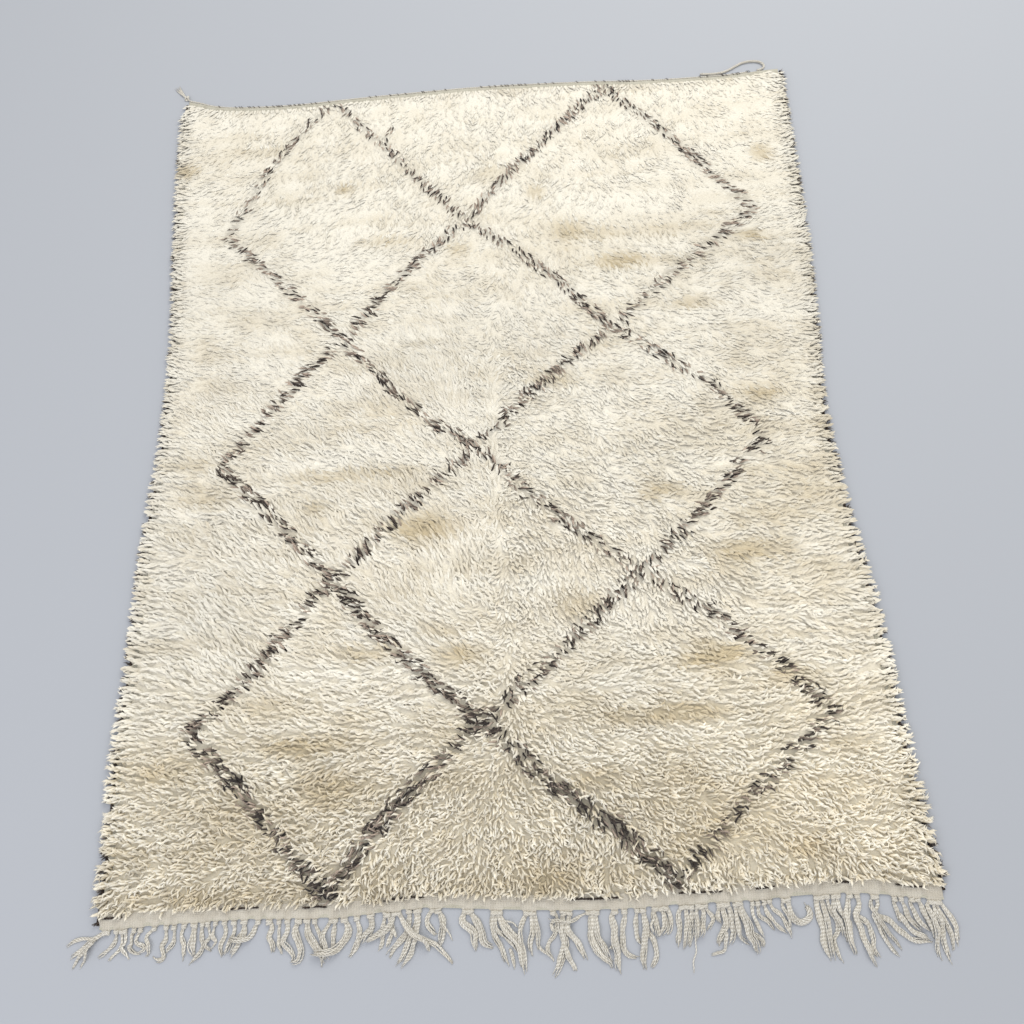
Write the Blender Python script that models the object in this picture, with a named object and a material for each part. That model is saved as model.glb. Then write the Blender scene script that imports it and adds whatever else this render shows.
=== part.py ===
"""Beni mrirt rug: a thick, cream, hand-knotted wool rug lying flat, with dark goat-hair sides.

Metres, +Z up. The origin is on the underside at the middle of the rug. +Y runs to the plain end, where the
starting cord lies, and -Y to the end with the knotted warp fringe.
"""

import math
import random

import bmesh
import bpy
import numpy as np
from mathutils import Vector, noise

# ---------------------------------------------------------------- driving dimensions
GAP = 0.0004  # space left between neighbouring pieces
UP = Vector((0, 0, 1))

PILE = 0.025  # height of the pile in the middle of the rug
RIM = 0.016  # height of the pile where it meets an edge
RIM_RUN = 0.075  # distance over which the pile rises from an edge
CLOTH = 0.0035  # thickness of the flat-woven ends
BAND = 0.022  # flat-woven band at the fringed end
PLAIN_END = 0.012  # flat-woven strip at the plain end
PILE_FOOT = 0.005  # run of the step from a flat end up to the pile
SKIRT = 0.008  # height of the bare weave under the rim locks
COLUMNS = 26
ROWS = 58

SIDE_LINE = (  # y, left, right: how far the side locks reach
    (-1.025, -0.812, 0.812),
    (-0.900, -0.811, 0.804),
    (-0.700, -0.811, 0.792),
    (-0.500, -0.800, 0.783),
    (-0.250, -0.795, 0.754),
    (0.000, -0.778, 0.743),
    (0.250, -0.776, 0.760),
    (0.500, -0.791, 0.772),
    (0.750, -0.802, 0.776),
    (0.900, -0.807, 0.778),
    (0.985, -0.794, 0.782),
)
PLAIN_LINE = (  # x, y: edge of the cloth at the plain end
    (-0.790, 0.996),
    (-0.715, 0.972),
    (-0.640, 0.963),
    (-0.500, 0.961),
    (-0.350, 0.971),
    (-0.200, 0.978),
    (-0.050, 0.985),
    (0.100, 0.985),
    (0.250, 0.983),
    (0.400, 0.976),
    (0.550, 0.976),
    (0.650, 0.979),
    (0.710, 0.987),
    (0.780, 0.992),
)
FRINGE_EDGE = -1.0215  # y of the band's edge where it bows inwards most
FRINGE_BOW = 0.0056  # how far the bow runs out per square metre of x
FRINGE_BOW_X = -0.15

LUMPS = (  # pitch, height: the uneven lie of the pile
    (0.170, 0.0032),
    (0.065, 0.0022),
)
CREASES = (  # x, y, half length, depth: troughs between two rows of knots
    (0.300, -0.665, 0.150, 0.0050),
    (-0.280, -0.720, 0.240, 0.0040),
    (0.620, -0.480, 0.130, 0.0040),
    (-0.500, -0.050, 0.220, 0.0035),
    (0.180, 0.480, 0.240, 0.0040),
    (-0.380, 0.640, 0.180, 0.0030),
    (0.450, 0.130, 0.200, 0.0030),
)
CREASE_WIDTH = 0.022
PARTING = (-0.012, 0.250, -0.800, 0.003)  # x, first y, last y, depth

LOCK_REACH = 0.017  # from the cloth's side to the tips of the rim locks
LOCK_STEPS = ((0.55, 0.72, 0.0012), (1.00, 0.26, 0.0050))  # share of the reach, width left, drop

SELVEDGE = 0.006
TUFT_EVERY = 5
TUFT_REACH = 0.017
TUFT_STEPS = ((0.35, 0.012, 0.0045), (1.00, 0.003, 0.0022))  # share of the reach, width, height

HEADING = 0.0044
HEADING_TURN = 0.712  # x where the heading cord leaves the edge
TIE_HEAD = (0.013, 0.013, 0.009)  # width, length and height of the knot
TIE_HEAD_STEPS = ((0.35, 1.0), (0.70, 1.0), (1.00, 0.75))  # share of the length, share of the size
TIE_STRANDS = 5
TIE_STRAND = (0.0032, 0.0036)  # width and height of one of its yarns
TIE_STRAND_STEPS = ((0.35, 1.0), (0.70, 1.0), (1.00, 0.4))
TIE_LENGTH = 0.056
TIE_FAN = (0.0031, 0.0024)  # sideways step between yarns at the knot, and what it grows by at the tips
CORD = 0.006
CORD_PLIES = 3
CORD_TWIST = 0.024  # length of one full turn of the plies
CORD_STEP = 0.004
CORD_ROUTE = (  # x, distance behind the edge of the cloth: the free end, turned back on itself
    (0.7200, 0.0044),
    (0.7290, 0.0086),
    (0.7320, 0.0170),
    (0.7270, 0.0265),
    (0.7170, 0.0325),
    (0.7040, 0.0360),
    (0.6880, 0.0370),
    (0.6720, 0.0345),
    (0.6560, 0.0275),
    (0.6400, 0.0190),
    (0.6230, 0.0125),
    (0.6040, 0.0100),
    (0.5840, 0.0105),
    (0.5640, 0.0125),
)

STRIP = (0.005, 0.004)  # depth and height of the strip that carries the fringe
STRIP_ENDS = (0.007, 0.009)  # what the strip runs past its first and last knot
NECK = 0.003
NECK_WIDTH = 0.0072
KNOT = (0.012, 0.008)  # length and height of a warp knot
KNOT_STEPS = ((0.00, 0.80, 0.55), (0.35, 1.15, 1.00), (0.75, 1.15, 1.00), (1.00, 0.95, 0.60))
STRAND = (0.0058, 0.0042)  # width and height of a strand
STRAND_PITCH = 0.0080
STRAND_WAVE = 0.0022
STRAND_STEPS = (0.18, 0.42, 0.70, 1.00)
STRAND_TAPER = (1.00, 1.00, 0.90, 0.45)
TASSELS = (  # root x, lean, reach in mm, and number of strands
    (-782, -58, 62, 3), (-762, -30, 50, 2), (-745, -24, 60, 2), (-728, -10, 44, 2), (-711, -10, 44, 2),
    (-690, -14, 52, 2), (-667, -8, 52, 2), (-652, -6, 46, 2), (-633, -3, 60, 2), (-614, -4, 54, 2),
    (-596, -6, 66, 2), (-577, -4, 42, 2), (-556, -6, 56, 2), (-538, -6, 56, 2), (-519, -8, 58, 2),
    (-496, -8, 34, 2), (-471, 2, 58, 2), (-452, 2, 60, 2), (-435, 2, 72, 2), (-415, 0, 76, 2),
    (-396, 8, 74, 2), (-377, 12, 84, 2), (-353, -4, 56, 2), (-328, -10, 54, 2), (-304, -12, 66, 2),
    (-278, -14, 50, 2), (-253, -12, 60, 2), (-233, -12, 50, 2), (-207, -36, 82, 2), (-186, 30, 88, 2),
    (-158, 8, 54, 3), (-98, 22, 64, 3), (-42, 34, 104, 3), (20, 2, 76, 3), (66, -2, 80, 2),
    (93, 8, 100, 3), (144, 26, 100, 2), (189, 4, 108, 3), (231, 10, 104, 3), (268, 2, 52, 3),
    (317, -8, 76, 3), (347, -6, 60, 2), (384, -16, 76, 3), (412, 26, 84, 2), (458, 20, 54, 3),
    (501, 4, 52, 2), (530, 10, 36, 2), (567, 14, 108, 3), (592, 14, 80, 2), (632, 22, 108, 3),
    (671, 32, 98, 2), (712, 32, 66, 3), (743, 20, 60, 2), (773, 26, 108, 3),
)
MM = 0.001

# ---------------------------------------------------------------- lines of the cloth


def follow(table, at, column=1):
    """Read a smooth line through a table's rows at one place."""
    keys = [row[0] for row in table]
    last = len(keys) - 2
    k = min(max(sum(key <= at for key in keys) - 1, 0), last)
    t = min(max((at - keys[k]) / (keys[k + 1] - keys[k]), 0), 1)
    a, b, c, d = (table[min(max(n, 0), last + 1)][column] for n in range(k - 1, k + 3))
    return 0.5 * (2 * b + (c - a) * t + (2 * a - 5 * b + 4 * c - d) * t**2 + (3 * b - a - 3 * c + d) * t**3)


def fringe_line(x):
    return FRINGE_EDGE - FRINGE_BOW * (x - FRINGE_BOW_X) ** 2


def wall_x(side, y):
    """The cloth's own side, inside the tips of the rim locks; side is -1 on the left, 1 on the right."""
    return follow(SIDE_LINE, y, 1 if side < 0 else 2) - side * LOCK_REACH


def row_y(row, x):
    """Rows 0 and 1 bound the band, the last two the plain end, and the pile's rows are evenly spaced."""
    low, high = fringe_line(x), follow(PLAIN_LINE, x)
    if row < 2:
        return low + BAND * row
    if row > ROWS + 2:
        return high - PLAIN_END * (ROWS + 4 - row)
    first, last = low + BAND + PILE_FOOT, high - PLAIN_END - PILE_FOOT
    return first + (last - first) * (row - 2) / ROWS


def grid_place(column, row):
    """Where a column and a row of the cloth cross."""
    across = column / COLUMNS
    y = row_y(row, 0)
    for _ in range(3):
        x = wall_x(-1, y) * (1 - across) + wall_x(1, y) * across
        y = row_y(row, x)
    return x, y


def ease(t):
    t = min(max(t, 0), 1)
    return t * t * (3 - 2 * t)


def pile_height(x, y, row):
    """Lumpy height of the pile, lower along the edges, in the creases and along the parting."""
    if row < 2 or row > ROWS + 2:
        return CLOTH
    inwards = min(x - wall_x(-1, y), wall_x(1, y) - x, y - row_y(2, x), row_y(ROWS + 2, x) - y)
    rise = ease(inwards / RIM_RUN)
    height = RIM + (PILE - RIM) * rise
    for pitch, lump in LUMPS:
        height += lump * noise.noise(Vector((x / pitch, y / pitch, pitch))) * (0.35 + 0.65 * rise)
    for crease_x, crease_y, half, depth in CREASES:
        along = 1 - ease((abs(x - crease_x) - 0.6 * half) / (0.4 * half))
        height -= depth * along * math.exp(-(((y - crease_y) / CREASE_WIDTH) ** 2))
    parting_x, first, last, depth = PARTING
    if last < y < first:
        height -= depth * math.exp(-(((x - parting_x) / 0.05) ** 2))
    return height


# ---------------------------------------------------------------- making objects


def collection(name):
    made = bpy.data.collections.new(name)
    bpy.context.scene.collection.children.link(made)
    return made


def material(name, colour, roughness):
    made = bpy.data.materials.new(name)
    made.use_nodes = True
    shader = made.node_tree.nodes["Principled BSDF"]
    shader.inputs["Base Color"].default_value = (*colour, 1)
    shader.inputs["Roughness"].default_value = roughness
    shader.inputs["Metallic"].default_value = 0
    return made


def mesh_object(name, bm, finish, parts):
    bmesh.ops.recalc_face_normals(bm, faces=bm.faces[:])
    mesh = bpy.data.meshes.new(name)
    bm.to_mesh(mesh)
    bm.free()
    made = bpy.data.objects.new(name, mesh)
    made.data.materials.append(finish)
    parts.objects.link(made)
    return made


def tube(name, points, diameter, resolution, finish, parts):
    """A round cord along a line of points, with closed ends."""
    curve = bpy.data.curves.new(name, "CURVE")
    curve.dimensions = "3D"
    curve.bevel_depth = diameter / 2
    curve.bevel_resolution = resolution
    curve.use_fill_caps = True
    spline = curve.splines.new("POLY")
    spline.points.add(len(points) - 1)
    for spot, point in zip(spline.points, points):
        spot.co = (*point, 1)
    curve.materials.append(finish)
    made = bpy.data.objects.new(name, curve)
    parts.objects.link(made)
    return made


def welded(rod):
    """The cord as a closed mesh that can be worked on; its curve is removed."""
    evaluated = rod.evaluated_get(bpy.context.evaluated_depsgraph_get())
    mesh = bpy.data.meshes.new_from_object(evaluated)
    bm = bmesh.new()
    bm.from_mesh(mesh)
    bm.transform(rod.matrix_world)
    bmesh.ops.remove_doubles(bm, verts=bm.verts[:], dist=0.00001)
    bmesh.ops.recalc_face_normals(bm, faces=bm.faces[:])
    bpy.data.objects.remove(rod)
    bpy.data.meshes.remove(mesh)
    return bm


def grow(bm, face, centre, along, width, height, floor=0.0):
    """Pull one upright four-sided face out to a new place and give it a new width and height."""
    middle = face.calc_center_median()
    side = along.cross(UP).normalized()
    pulled = bmesh.ops.extrude_discrete_faces(bm, faces=[face])["faces"][0]
    for vert in pulled.verts:
        hand = math.copysign(width / 2, (vert.co - middle).dot(side))
        lift = height if vert.co.z > middle.z else 0
        vert.co = Vector((centre.x, centre.y, floor + lift)) + side * hand
    return pulled


def split(bm, face, count):
    """Divide an upright four-sided face into a row of faces."""
    level = [edge for edge in face.edges if abs(edge.verts[0].co.z - edge.verts[1].co.z) < 0.0001]
    out = face.normal.copy()
    made = bmesh.ops.subdivide_edges(bm, edges=level, cuts=count - 1, use_grid_fill=True)
    verts = {item for item in made["geom"] if isinstance(item, bmesh.types.BMVert)}
    bm.normal_update()
    faces = {f for vert in verts for f in vert.link_faces if f.normal.dot(out) > 0.99}
    return sorted(faces, key=lambda f: f.calc_center_median().dot(out.cross(UP)))


# ---------------------------------------------------------------- the rug's pieces


def build_field(finish, parts):
    """One lumpy slab of pile and flat ends on a flat underside, with a row of locks along each side."""
    rows = ROWS + 4
    bm = bmesh.new()
    bmesh.ops.create_grid(bm, x_segments=COLUMNS, y_segments=rows, size=0.5)
    column_of = bm.verts.layers.int.new("column")
    row_of = bm.verts.layers.int.new("row")
    for vert in bm.verts:
        vert[column_of] = round((vert.co.x + 0.5) * COLUMNS)
        vert[row_of] = round((vert.co.y + 0.5) * rows)
        vert.co = (*grid_place(vert[column_of], vert[row_of]), 0)
    under = bm.faces[:]
    raised = bmesh.ops.extrude_face_region(bm, geom=under)["geom"]
    for vert in raised:
        if isinstance(vert, bmesh.types.BMVert):
            vert.co.z = pile_height(vert.co.x, vert.co.y, vert[row_of])
    spare = [edge for edge in bm.edges if spare_below(edge, column_of, row_of)]
    bmesh.ops.dissolve_edges(bm, edges=spare, use_verts=True)
    everything = bm.verts[:] + bm.edges[:] + bm.faces[:]
    bmesh.ops.bisect_plane(bm, geom=everything, dist=0.00001, plane_co=(0, 0, SKIRT), plane_no=UP)
    bmesh.ops.recalc_face_normals(bm, faces=bm.faces[:])
    add_rim_locks(bm)
    return mesh_object("woven_field", bm, finish, parts)


def spare_below(edge, column_of, row_of):
    """Inner edges of the flat underside: it needs only one face a row, and one behind the curved plain end."""
    first, second = edge.verts
    if max(first.co.z, second.co.z) > 0 or len(edge.link_faces) != 2:
        return False
    if first[column_of] == second[column_of]:
        return 0 < first[column_of] < COLUMNS
    return first[row_of] == second[row_of] and ROWS - 1 < first[row_of] < ROWS + 4


def add_rim_locks(bm):
    """Pull each side face above the bare weave out to a tapering, drooping lock."""
    draw = random.Random(11)
    rim = [
        face
        for face in bm.faces
        if abs(face.normal.x) > 0.8
        and min(vert.co.z for vert in face.verts) > SKIRT - 0.0001
        and face.calc_perimeter() > 4 * PILE_FOOT
    ]
    rim.sort(key=lambda face: (face.calc_center_median().x > 0, face.calc_center_median().y))
    for face in rim:
        outward = math.copysign(1, face.normal.x)
        reach = LOCK_REACH * draw.uniform(0.72, 1.12)
        sway = draw.uniform(-0.009, 0.004)
        done = 0
        for share, width, drop in LOCK_STEPS:
            face = bmesh.ops.extrude_discrete_faces(bm, faces=[face])["faces"][0]
            middle = face.calc_center_median()
            shift = Vector((outward * reach * (share - done), sway * (share - done), -drop))
            narrow = width / (LOCK_STEPS[0][1] if done else 1)
            for vert in face.verts:
                arm = vert.co - middle
                vert.co = middle + Vector((0, arm.y * narrow, arm.z * narrow)) + shift
            done = share


def build_selvedge(side, name, finish, parts):
    """Overcast edge along one side, with a tuft pulled out of every few stitches."""
    draw = random.Random(23 + side)
    column = 0 if side < 0 else COLUMNS
    away = side * (3 * GAP + SELVEDGE / 2)
    points = []
    for row in range(1, ROWS + 4):
        x, y = grid_place(column, row)
        points.append((x + away, y, SELVEDGE / 2))
    bm = welded(tube("rod", points, SELVEDGE, 1, finish, parts))
    outer = [face for face in bm.faces if face.normal.x * side > 0.75 and face.normal.z < 0.1]
    outer.sort(key=lambda face: face.calc_center_median().y)
    for face in outer[2::TUFT_EVERY]:
        reach = TUFT_REACH * draw.uniform(0.75, 1.2)
        sway = draw.uniform(-0.008, 0.003)
        for share, width, height in TUFT_STEPS:
            root = face.calc_center_median()
            spot = Vector((root.x + side * reach * share, root.y + sway * share, 0))
            face = grow(bm, face, spot, Vector((side, 0, 0)), width, height, floor=0.0001)
    return mesh_object(name, bm, finish, parts)


def heading_line():
    """Centre line of the heading cord behind the cloth's edge, from the tie to the right-hand turn."""
    away = GAP + HEADING / 2
    places = [grid_place(column, ROWS + 4) for column in range(COLUMNS + 1)]
    slope = np.gradient([y for _, y in places], [x for x, _ in places])
    line = [
        Vector((x, y + away * math.hypot(1, lean), HEADING / 2))
        for (x, y), lean in zip(places, slope)
        if x < HEADING_TURN - 0.02
    ]
    end_y = follow(PLAIN_LINE, HEADING_TURN) + GAP + CORD / 2
    corner = line[0]
    return [corner + Vector((-0.007, 0.007, 0)), *line, Vector((HEADING_TURN, end_y, HEADING / 2))]


def build_tie(finish, parts):
    """Knot on the left end of the heading cord, with the cord's yarns spread beyond it."""
    end, corner = heading_line()[:2]
    along = (end - corner).normalized()
    width, length, height = TIE_HEAD
    bm = bmesh.new()
    bmesh.ops.create_cube(bm, size=1)
    bmesh.ops.scale(bm, vec=(width * 0.7, GAP * 10, height * 0.7), verts=bm.verts[:])
    bmesh.ops.rotate(bm, matrix=along.to_track_quat("Y", "Z").to_matrix(), verts=bm.verts[:])
    back = end + along * (GAP + GAP * 5)
    bmesh.ops.translate(bm, vec=(back.x, back.y, height * 0.35), verts=bm.verts[:])
    bm.normal_update()
    face = max(bm.faces, key=lambda f: f.normal.dot(along))
    for share, swell in TIE_HEAD_STEPS:
        face = grow(bm, face, back + along * length * share, along, width * swell, height * swell)
    bm.normal_update()
    root = back + along * length
    across = along.cross(UP)
    for number, strand in enumerate(split(bm, face, TIE_STRANDS)):
        fan = number - (TIE_STRANDS - 1) / 2
        for share, size in TIE_STRAND_STEPS:
            bend = across * fan * (TIE_FAN[0] + TIE_FAN[1] * share)
            spot = root + along * TIE_LENGTH * share * (1 - 0.04 * fan * fan) + bend
            strand = grow(bm, strand, spot, along, TIE_STRAND[0] * size, TIE_STRAND[1] * size)
    return mesh_object("corner_tie", bm, finish, parts)


def smooth_route(points, step):
    """Evenly spaced places on a smooth line through the points."""
    dense = []
    for k in range(len(points) - 1):
        a, b, c, d = (points[min(max(n, 0), len(points) - 1)] for n in range(k - 1, k + 3))
        for t in np.linspace(0, 1, 20, endpoint=False):
            curve = 2 * b + (c - a) * t + (2 * a - 5 * b + 4 * c - d) * t**2 + (3 * b - a - 3 * c + d) * t**3
            dense.append(curve / 2)
    dense = np.array([*dense, points[-1]])
    run = np.concatenate(([0], np.cumsum(np.linalg.norm(np.diff(dense, axis=0), axis=1))))
    at = np.linspace(0, run[-1], round(run[-1] / step) + 1)
    return np.stack([np.interp(at, run, dense[:, axis]) for axis in range(3)], axis=1)


def build_cord(finish, parts, guides):
    """The free end of the heading cord: three plies twisted together, turned back behind the edge."""
    start = heading_line()[-1]
    points = [np.array((start.x + GAP, start.y, CORD / 2))]
    for x, behind in CORD_ROUTE:
        points.append(np.array((x, follow(PLAIN_LINE, x) + behind, CORD / 2)))
    places = smooth_route(points, CORD_STEP)
    profile = bpy.data.curves.new("plies", "CURVE")
    profile.dimensions = "2D"
    outline = profile.splines.new("POLY")
    sides = CORD_PLIES * 3
    outline.points.add(sides - 1)
    outline.use_cyclic_u = True
    for number, spot in enumerate(outline.points):
        turn = 2 * math.pi * number / sides
        radius = CORD / 2 * (0.86 + 0.14 * math.cos(CORD_PLIES * turn))
        spot.co = (radius * math.cos(turn), radius * math.sin(turn), 0, 1)
    guide = bpy.data.objects.new("plies", profile)
    guide.hide_render = True
    guide.display_type = "WIRE"
    guides.objects.link(guide)
    rope = tube("rope", places, CORD, 2, finish, parts)
    rope.data.bevel_mode = "OBJECT"
    rope.data.bevel_object = guide
    for number, spot in enumerate(rope.data.splines[0].points):
        spot.tilt = 2 * math.pi * number * CORD_STEP / CORD_TWIST
    return mesh_object("corner_cord", welded(rope), finish, parts)


def build_fringe(finish, parts):
    """A narrow strip along the band, with a knot and its loose strands at each gathered group of warps."""
    depth, height = STRIP
    draw = random.Random(5)
    bm = bmesh.new()
    bmesh.ops.create_cube(bm, size=1)
    left, right = TASSELS[0][0] * MM - STRIP_ENDS[0], TASSELS[-1][0] * MM + STRIP_ENDS[1]
    bmesh.ops.scale(bm, vec=(right - left, depth, height), verts=bm.verts[:])
    bmesh.ops.translate(bm, vec=((left + right) / 2, -depth / 2 - GAP, height / 2), verts=bm.verts[:])
    cuts = [root * MM + side * NECK_WIDTH / 2 for root, _, _, _ in TASSELS for side in (-1, 1)]
    for x in cuts:
        everything = bm.verts[:] + bm.edges[:] + bm.faces[:]
        bmesh.ops.bisect_plane(bm, geom=everything, dist=0.00001, plane_co=(x, 0, 0), plane_no=(1, 0, 0))
    for vert in bm.verts:
        vert.co.y += fringe_line(vert.co.x)
    bmesh.ops.recalc_face_normals(bm, faces=bm.faces[:])
    front = sorted((face for face in bm.faces if face.normal.y < -0.9), key=lambda f: f.calc_center_median().x)
    for face, (root, lean, reach, count) in zip(front[1::2], TASSELS):
        grow_tassel(bm, face, root * MM, lean * MM, reach * MM, count, draw)
    return mesh_object("warp_fringe", bm, finish, parts)


def grow_tassel(bm, face, root, lean, reach, count, draw):
    """Neck, knot and strands; the strands lie level on the floor and spread a little."""
    knot_length, knot_height = KNOT
    start = Vector((root, fringe_line(root) - STRIP[0] - GAP, 0))
    out = Vector((0, -1, 0))
    wide = count * STRAND_PITCH * 0.62
    tilt = lean / reach * knot_length * 0.4
    for share, swell, rise in KNOT_STEPS:
        centre = start + Vector((tilt * share, -NECK - knot_length * share, 0))
        face = grow(bm, face, centre, out, wide * swell, knot_height * rise)
    bm.normal_update()
    base = centre
    phase = draw.uniform(0, 2 * math.pi)
    for number, strand in enumerate(split(bm, face, count)):
        fan = number - (count - 1) / 2
        part = 1 - 0.10 * abs(fan) - draw.uniform(0, 0.08)
        for share, taper in zip(STRAND_STEPS, STRAND_TAPER):
            spread = -fan * STRAND_PITCH * (0.80 + 0.20 * share)
            sway = STRAND_WAVE * math.sin(phase + share * 2.2 * math.pi) * share
            run = share * part
            spot = base + Vector((lean * run * 0.9 + sway + spread, -(reach - knot_length) * run, 0))
            strand = grow(bm, strand, spot, out, STRAND[0] * taper, STRAND[1] * taper)


def main():
    for old in list(bpy.data.objects):
        bpy.data.objects.remove(old)
    parts = collection("Beni mrirt rug")
    guides = collection("Guides")
    pile_wool = material("knotted wool pile", (0.78, 0.72, 0.57), 0.95)
    warp_wool = material("spun wool warp", (0.72, 0.68, 0.57), 0.9)
    goat_hair = material("dark goat hair", (0.035, 0.028, 0.024), 0.8)
    build_field(pile_wool, parts)
    build_selvedge(-1, "selvedge_left", goat_hair, parts)
    build_selvedge(1, "selvedge_right", goat_hair, parts)
    tube("heading_cord", heading_line(), HEADING, 1, warp_wool, parts)
    build_tie(warp_wool, parts)
    build_cord(warp_wool, parts, guides)
    build_fringe(warp_wool, parts)


main()
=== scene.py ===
# %% [markdown]
# # A Beni Mrirt rug, laid flat
# The real rug is woven by hand on an upright loom. Cream wool is knotted row by row into a wool ground, dark wool
# draws a lattice of diamonds, goat hair binds both sides, and the warps are knotted into a fringe at one end.
# A rug like this could be a plane with a picture on it, but its looks come from thousands of leaning locks of wool.
# So the ground cloth, the locks, the cords and the fringe are each built, over the solid part used for collisions.

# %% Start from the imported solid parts
import math

import bpy
import numpy as np
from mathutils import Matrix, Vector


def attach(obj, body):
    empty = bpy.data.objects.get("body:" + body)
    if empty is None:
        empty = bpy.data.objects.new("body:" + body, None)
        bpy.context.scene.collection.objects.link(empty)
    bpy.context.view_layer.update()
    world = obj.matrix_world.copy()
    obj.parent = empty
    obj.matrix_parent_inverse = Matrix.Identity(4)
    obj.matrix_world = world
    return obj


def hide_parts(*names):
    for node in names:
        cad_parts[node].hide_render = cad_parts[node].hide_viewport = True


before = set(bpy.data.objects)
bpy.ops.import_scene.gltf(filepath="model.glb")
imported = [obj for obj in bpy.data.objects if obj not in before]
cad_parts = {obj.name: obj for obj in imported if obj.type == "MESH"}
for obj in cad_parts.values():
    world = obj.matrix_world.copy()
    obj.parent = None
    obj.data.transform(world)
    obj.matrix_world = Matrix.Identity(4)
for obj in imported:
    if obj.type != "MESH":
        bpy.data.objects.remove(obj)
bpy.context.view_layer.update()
print("solid parts:", sorted(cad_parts))

# %% [markdown]
# ## The lines of the cloth
# A hand-woven rug is never a true rectangle: its sides draw in and out and its plain end bows. Each edge is a smooth
# line through a few measured places. Catmull-Rom is used because it passes through every place that it is given.

# %% Edges of the cloth, in metres
SIDE_LINE = np.array(  # y, left, right: how far the locks of each side reach
    (
        (-1.025, -0.812, 0.812),
        (-0.900, -0.808, 0.796),
        (-0.700, -0.809, 0.785),
        (-0.500, -0.800, 0.778),
        (-0.250, -0.795, 0.754),
        (0.000, -0.778, 0.743),
        (0.250, -0.776, 0.760),
        (0.500, -0.791, 0.772),
        (0.750, -0.802, 0.776),
        (0.900, -0.807, 0.778),
        (0.985, -0.804, 0.784),
    )
)
PLAIN_LINE = np.array(  # x, y: edge of the cloth at the plain end
    (
        (-0.790, 0.996), (-0.715, 0.972), (-0.640, 0.963), (-0.500, 0.961), (-0.350, 0.971),
        (-0.200, 0.978), (-0.050, 0.985), (0.100, 0.985), (0.250, 0.983), (0.400, 0.976),
        (0.550, 0.976), (0.650, 0.979), (0.710, 0.987), (0.780, 0.992),
    )
)
FRINGE_LINE = np.array(  # x, y: edge of the flat band at the fringed end
    (
        (-0.793, -1.0230), (-0.660, -1.0180), (-0.546, -1.0145), (-0.460, -1.0160), (-0.326, -1.0180),
        (-0.251, -1.0125), (-0.185, -1.0075), (-0.122, -1.0110), (-0.024, -1.0170), (0.070, -1.0220),
        (0.190, -1.0240), (0.286, -1.0210), (0.446, -1.0185), (0.530, -1.0145), (0.611, -1.0125),
        (0.670, -1.0170), (0.743, -1.0250), (0.795, -1.0320),
    )
)
LOCK_REACH = 0.017  # from the cloth's side to the tips of its locks
BAND = 0.022  # flat-woven band at the fringed end
PLAIN_END = 0.012  # flat-woven strip at the plain end
CLOTH = 0.0035  # thickness of the ground weave
MM = 0.001
print("places on the side, plain and fringed edges:", len(SIDE_LINE), len(PLAIN_LINE), len(FRINGE_LINE))

# %% Places on the cloth


def follow(table, at, column=1):
    """Read a smooth line through a table's rows at many places."""
    keys, values = table[:, 0], table[:, column]
    last = len(keys) - 1
    k = np.clip(np.searchsorted(keys, at, side="right") - 1, 0, last - 1)
    t = np.clip((at - keys[k]) / (keys[k + 1] - keys[k]), 0, 1)
    a, b, c, d = (values[np.clip(n, 0, last)] for n in (k - 1, k, k + 1, k + 2))
    return 0.5 * (2 * b + (c - a) * t + (2 * a - 5 * b + 4 * c - d) * t**2 + (3 * b - a - 3 * c + d) * t**3)


def side_x(side, y):
    """The cloth's own side: -1 is the left one and 1 the right one."""
    return follow(SIDE_LINE, y, 1 if side < 0 else 2) - side * LOCK_REACH


def fringe_y(x):
    """The edge of the flat band at the fringed end."""
    return follow(FRINGE_LINE, x)


def plain_y(x):
    """The edge of the cloth at the plain end."""
    return follow(PLAIN_LINE, x)


def on_cloth(across, along, start=0.0, end=0.0):
    """Places on the cloth from shares of its width and length; start and end are left free at its two ends."""
    x, y = across * 0, along * 0
    for _ in range(4):
        x = side_x(-1, y) * (1 - across) + side_x(1, y) * across
        first, last = fringe_y(x) + start, plain_y(x) - end
        y = first + (last - first) * along
    return x, y


def to_rim(x, y):
    """How far places are from the nearer side of the cloth, and from the nearer end of its pile."""
    from_side = np.minimum(x - side_x(-1, y), side_x(1, y) - x)
    return from_side, np.minimum(y - fringe_y(x) - BAND, plain_y(x) - PLAIN_END - y)


middle = np.array([0.0])
print("width at the middle in metres:", round(float((side_x(1, middle) - side_x(-1, middle))[0]), 3))
print("length at the middle in metres:", round(float((plain_y(middle) - fringe_y(middle))[0]), 3))

# %% [markdown]
# ## Helpers for shading
# Colours are written as sRGB hex, as a colour picker shows them, but shaders work in linear light, so one function
# converts them. A second one adds a node and sets it up: named inputs are values or the outputs of other nodes.

# %% Colours and nodes


def linear(code):
    """An sRGB hex colour as linear red, green, blue and alpha."""
    parts = [int(code[i : i + 2], 16) / 255 for i in (1, 3, 5)]
    return (*(p / 12.92 if p <= 0.04045 else ((p + 0.055) / 1.055) ** 2.4 for p in parts), 1.0)


def add_node(tree, kind, inputs=None, **settings):
    """Add a shader node, set it up, and link or fill its inputs by name or by number."""
    made = tree.nodes.new("ShaderNode" + kind)
    for name, value in settings.items():
        setattr(made, name, value)
    for name, value in (inputs or {}).items():
        if isinstance(value, bpy.types.NodeSocket):
            tree.links.new(value, made.inputs[name])
        else:
            made.inputs[name].default_value = value
    return made


def start_material(name, **sockets):
    """A new material, its nodes and its Principled shader, with constant sockets filled in."""
    made = bpy.data.materials.new(name)
    made.use_nodes = True
    shader = made.node_tree.nodes["Principled BSDF"]
    for socket, value in sockets.items():
        shader.inputs[socket.replace("_", " ")].default_value = value
    return made, made.node_tree, shader


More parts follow.
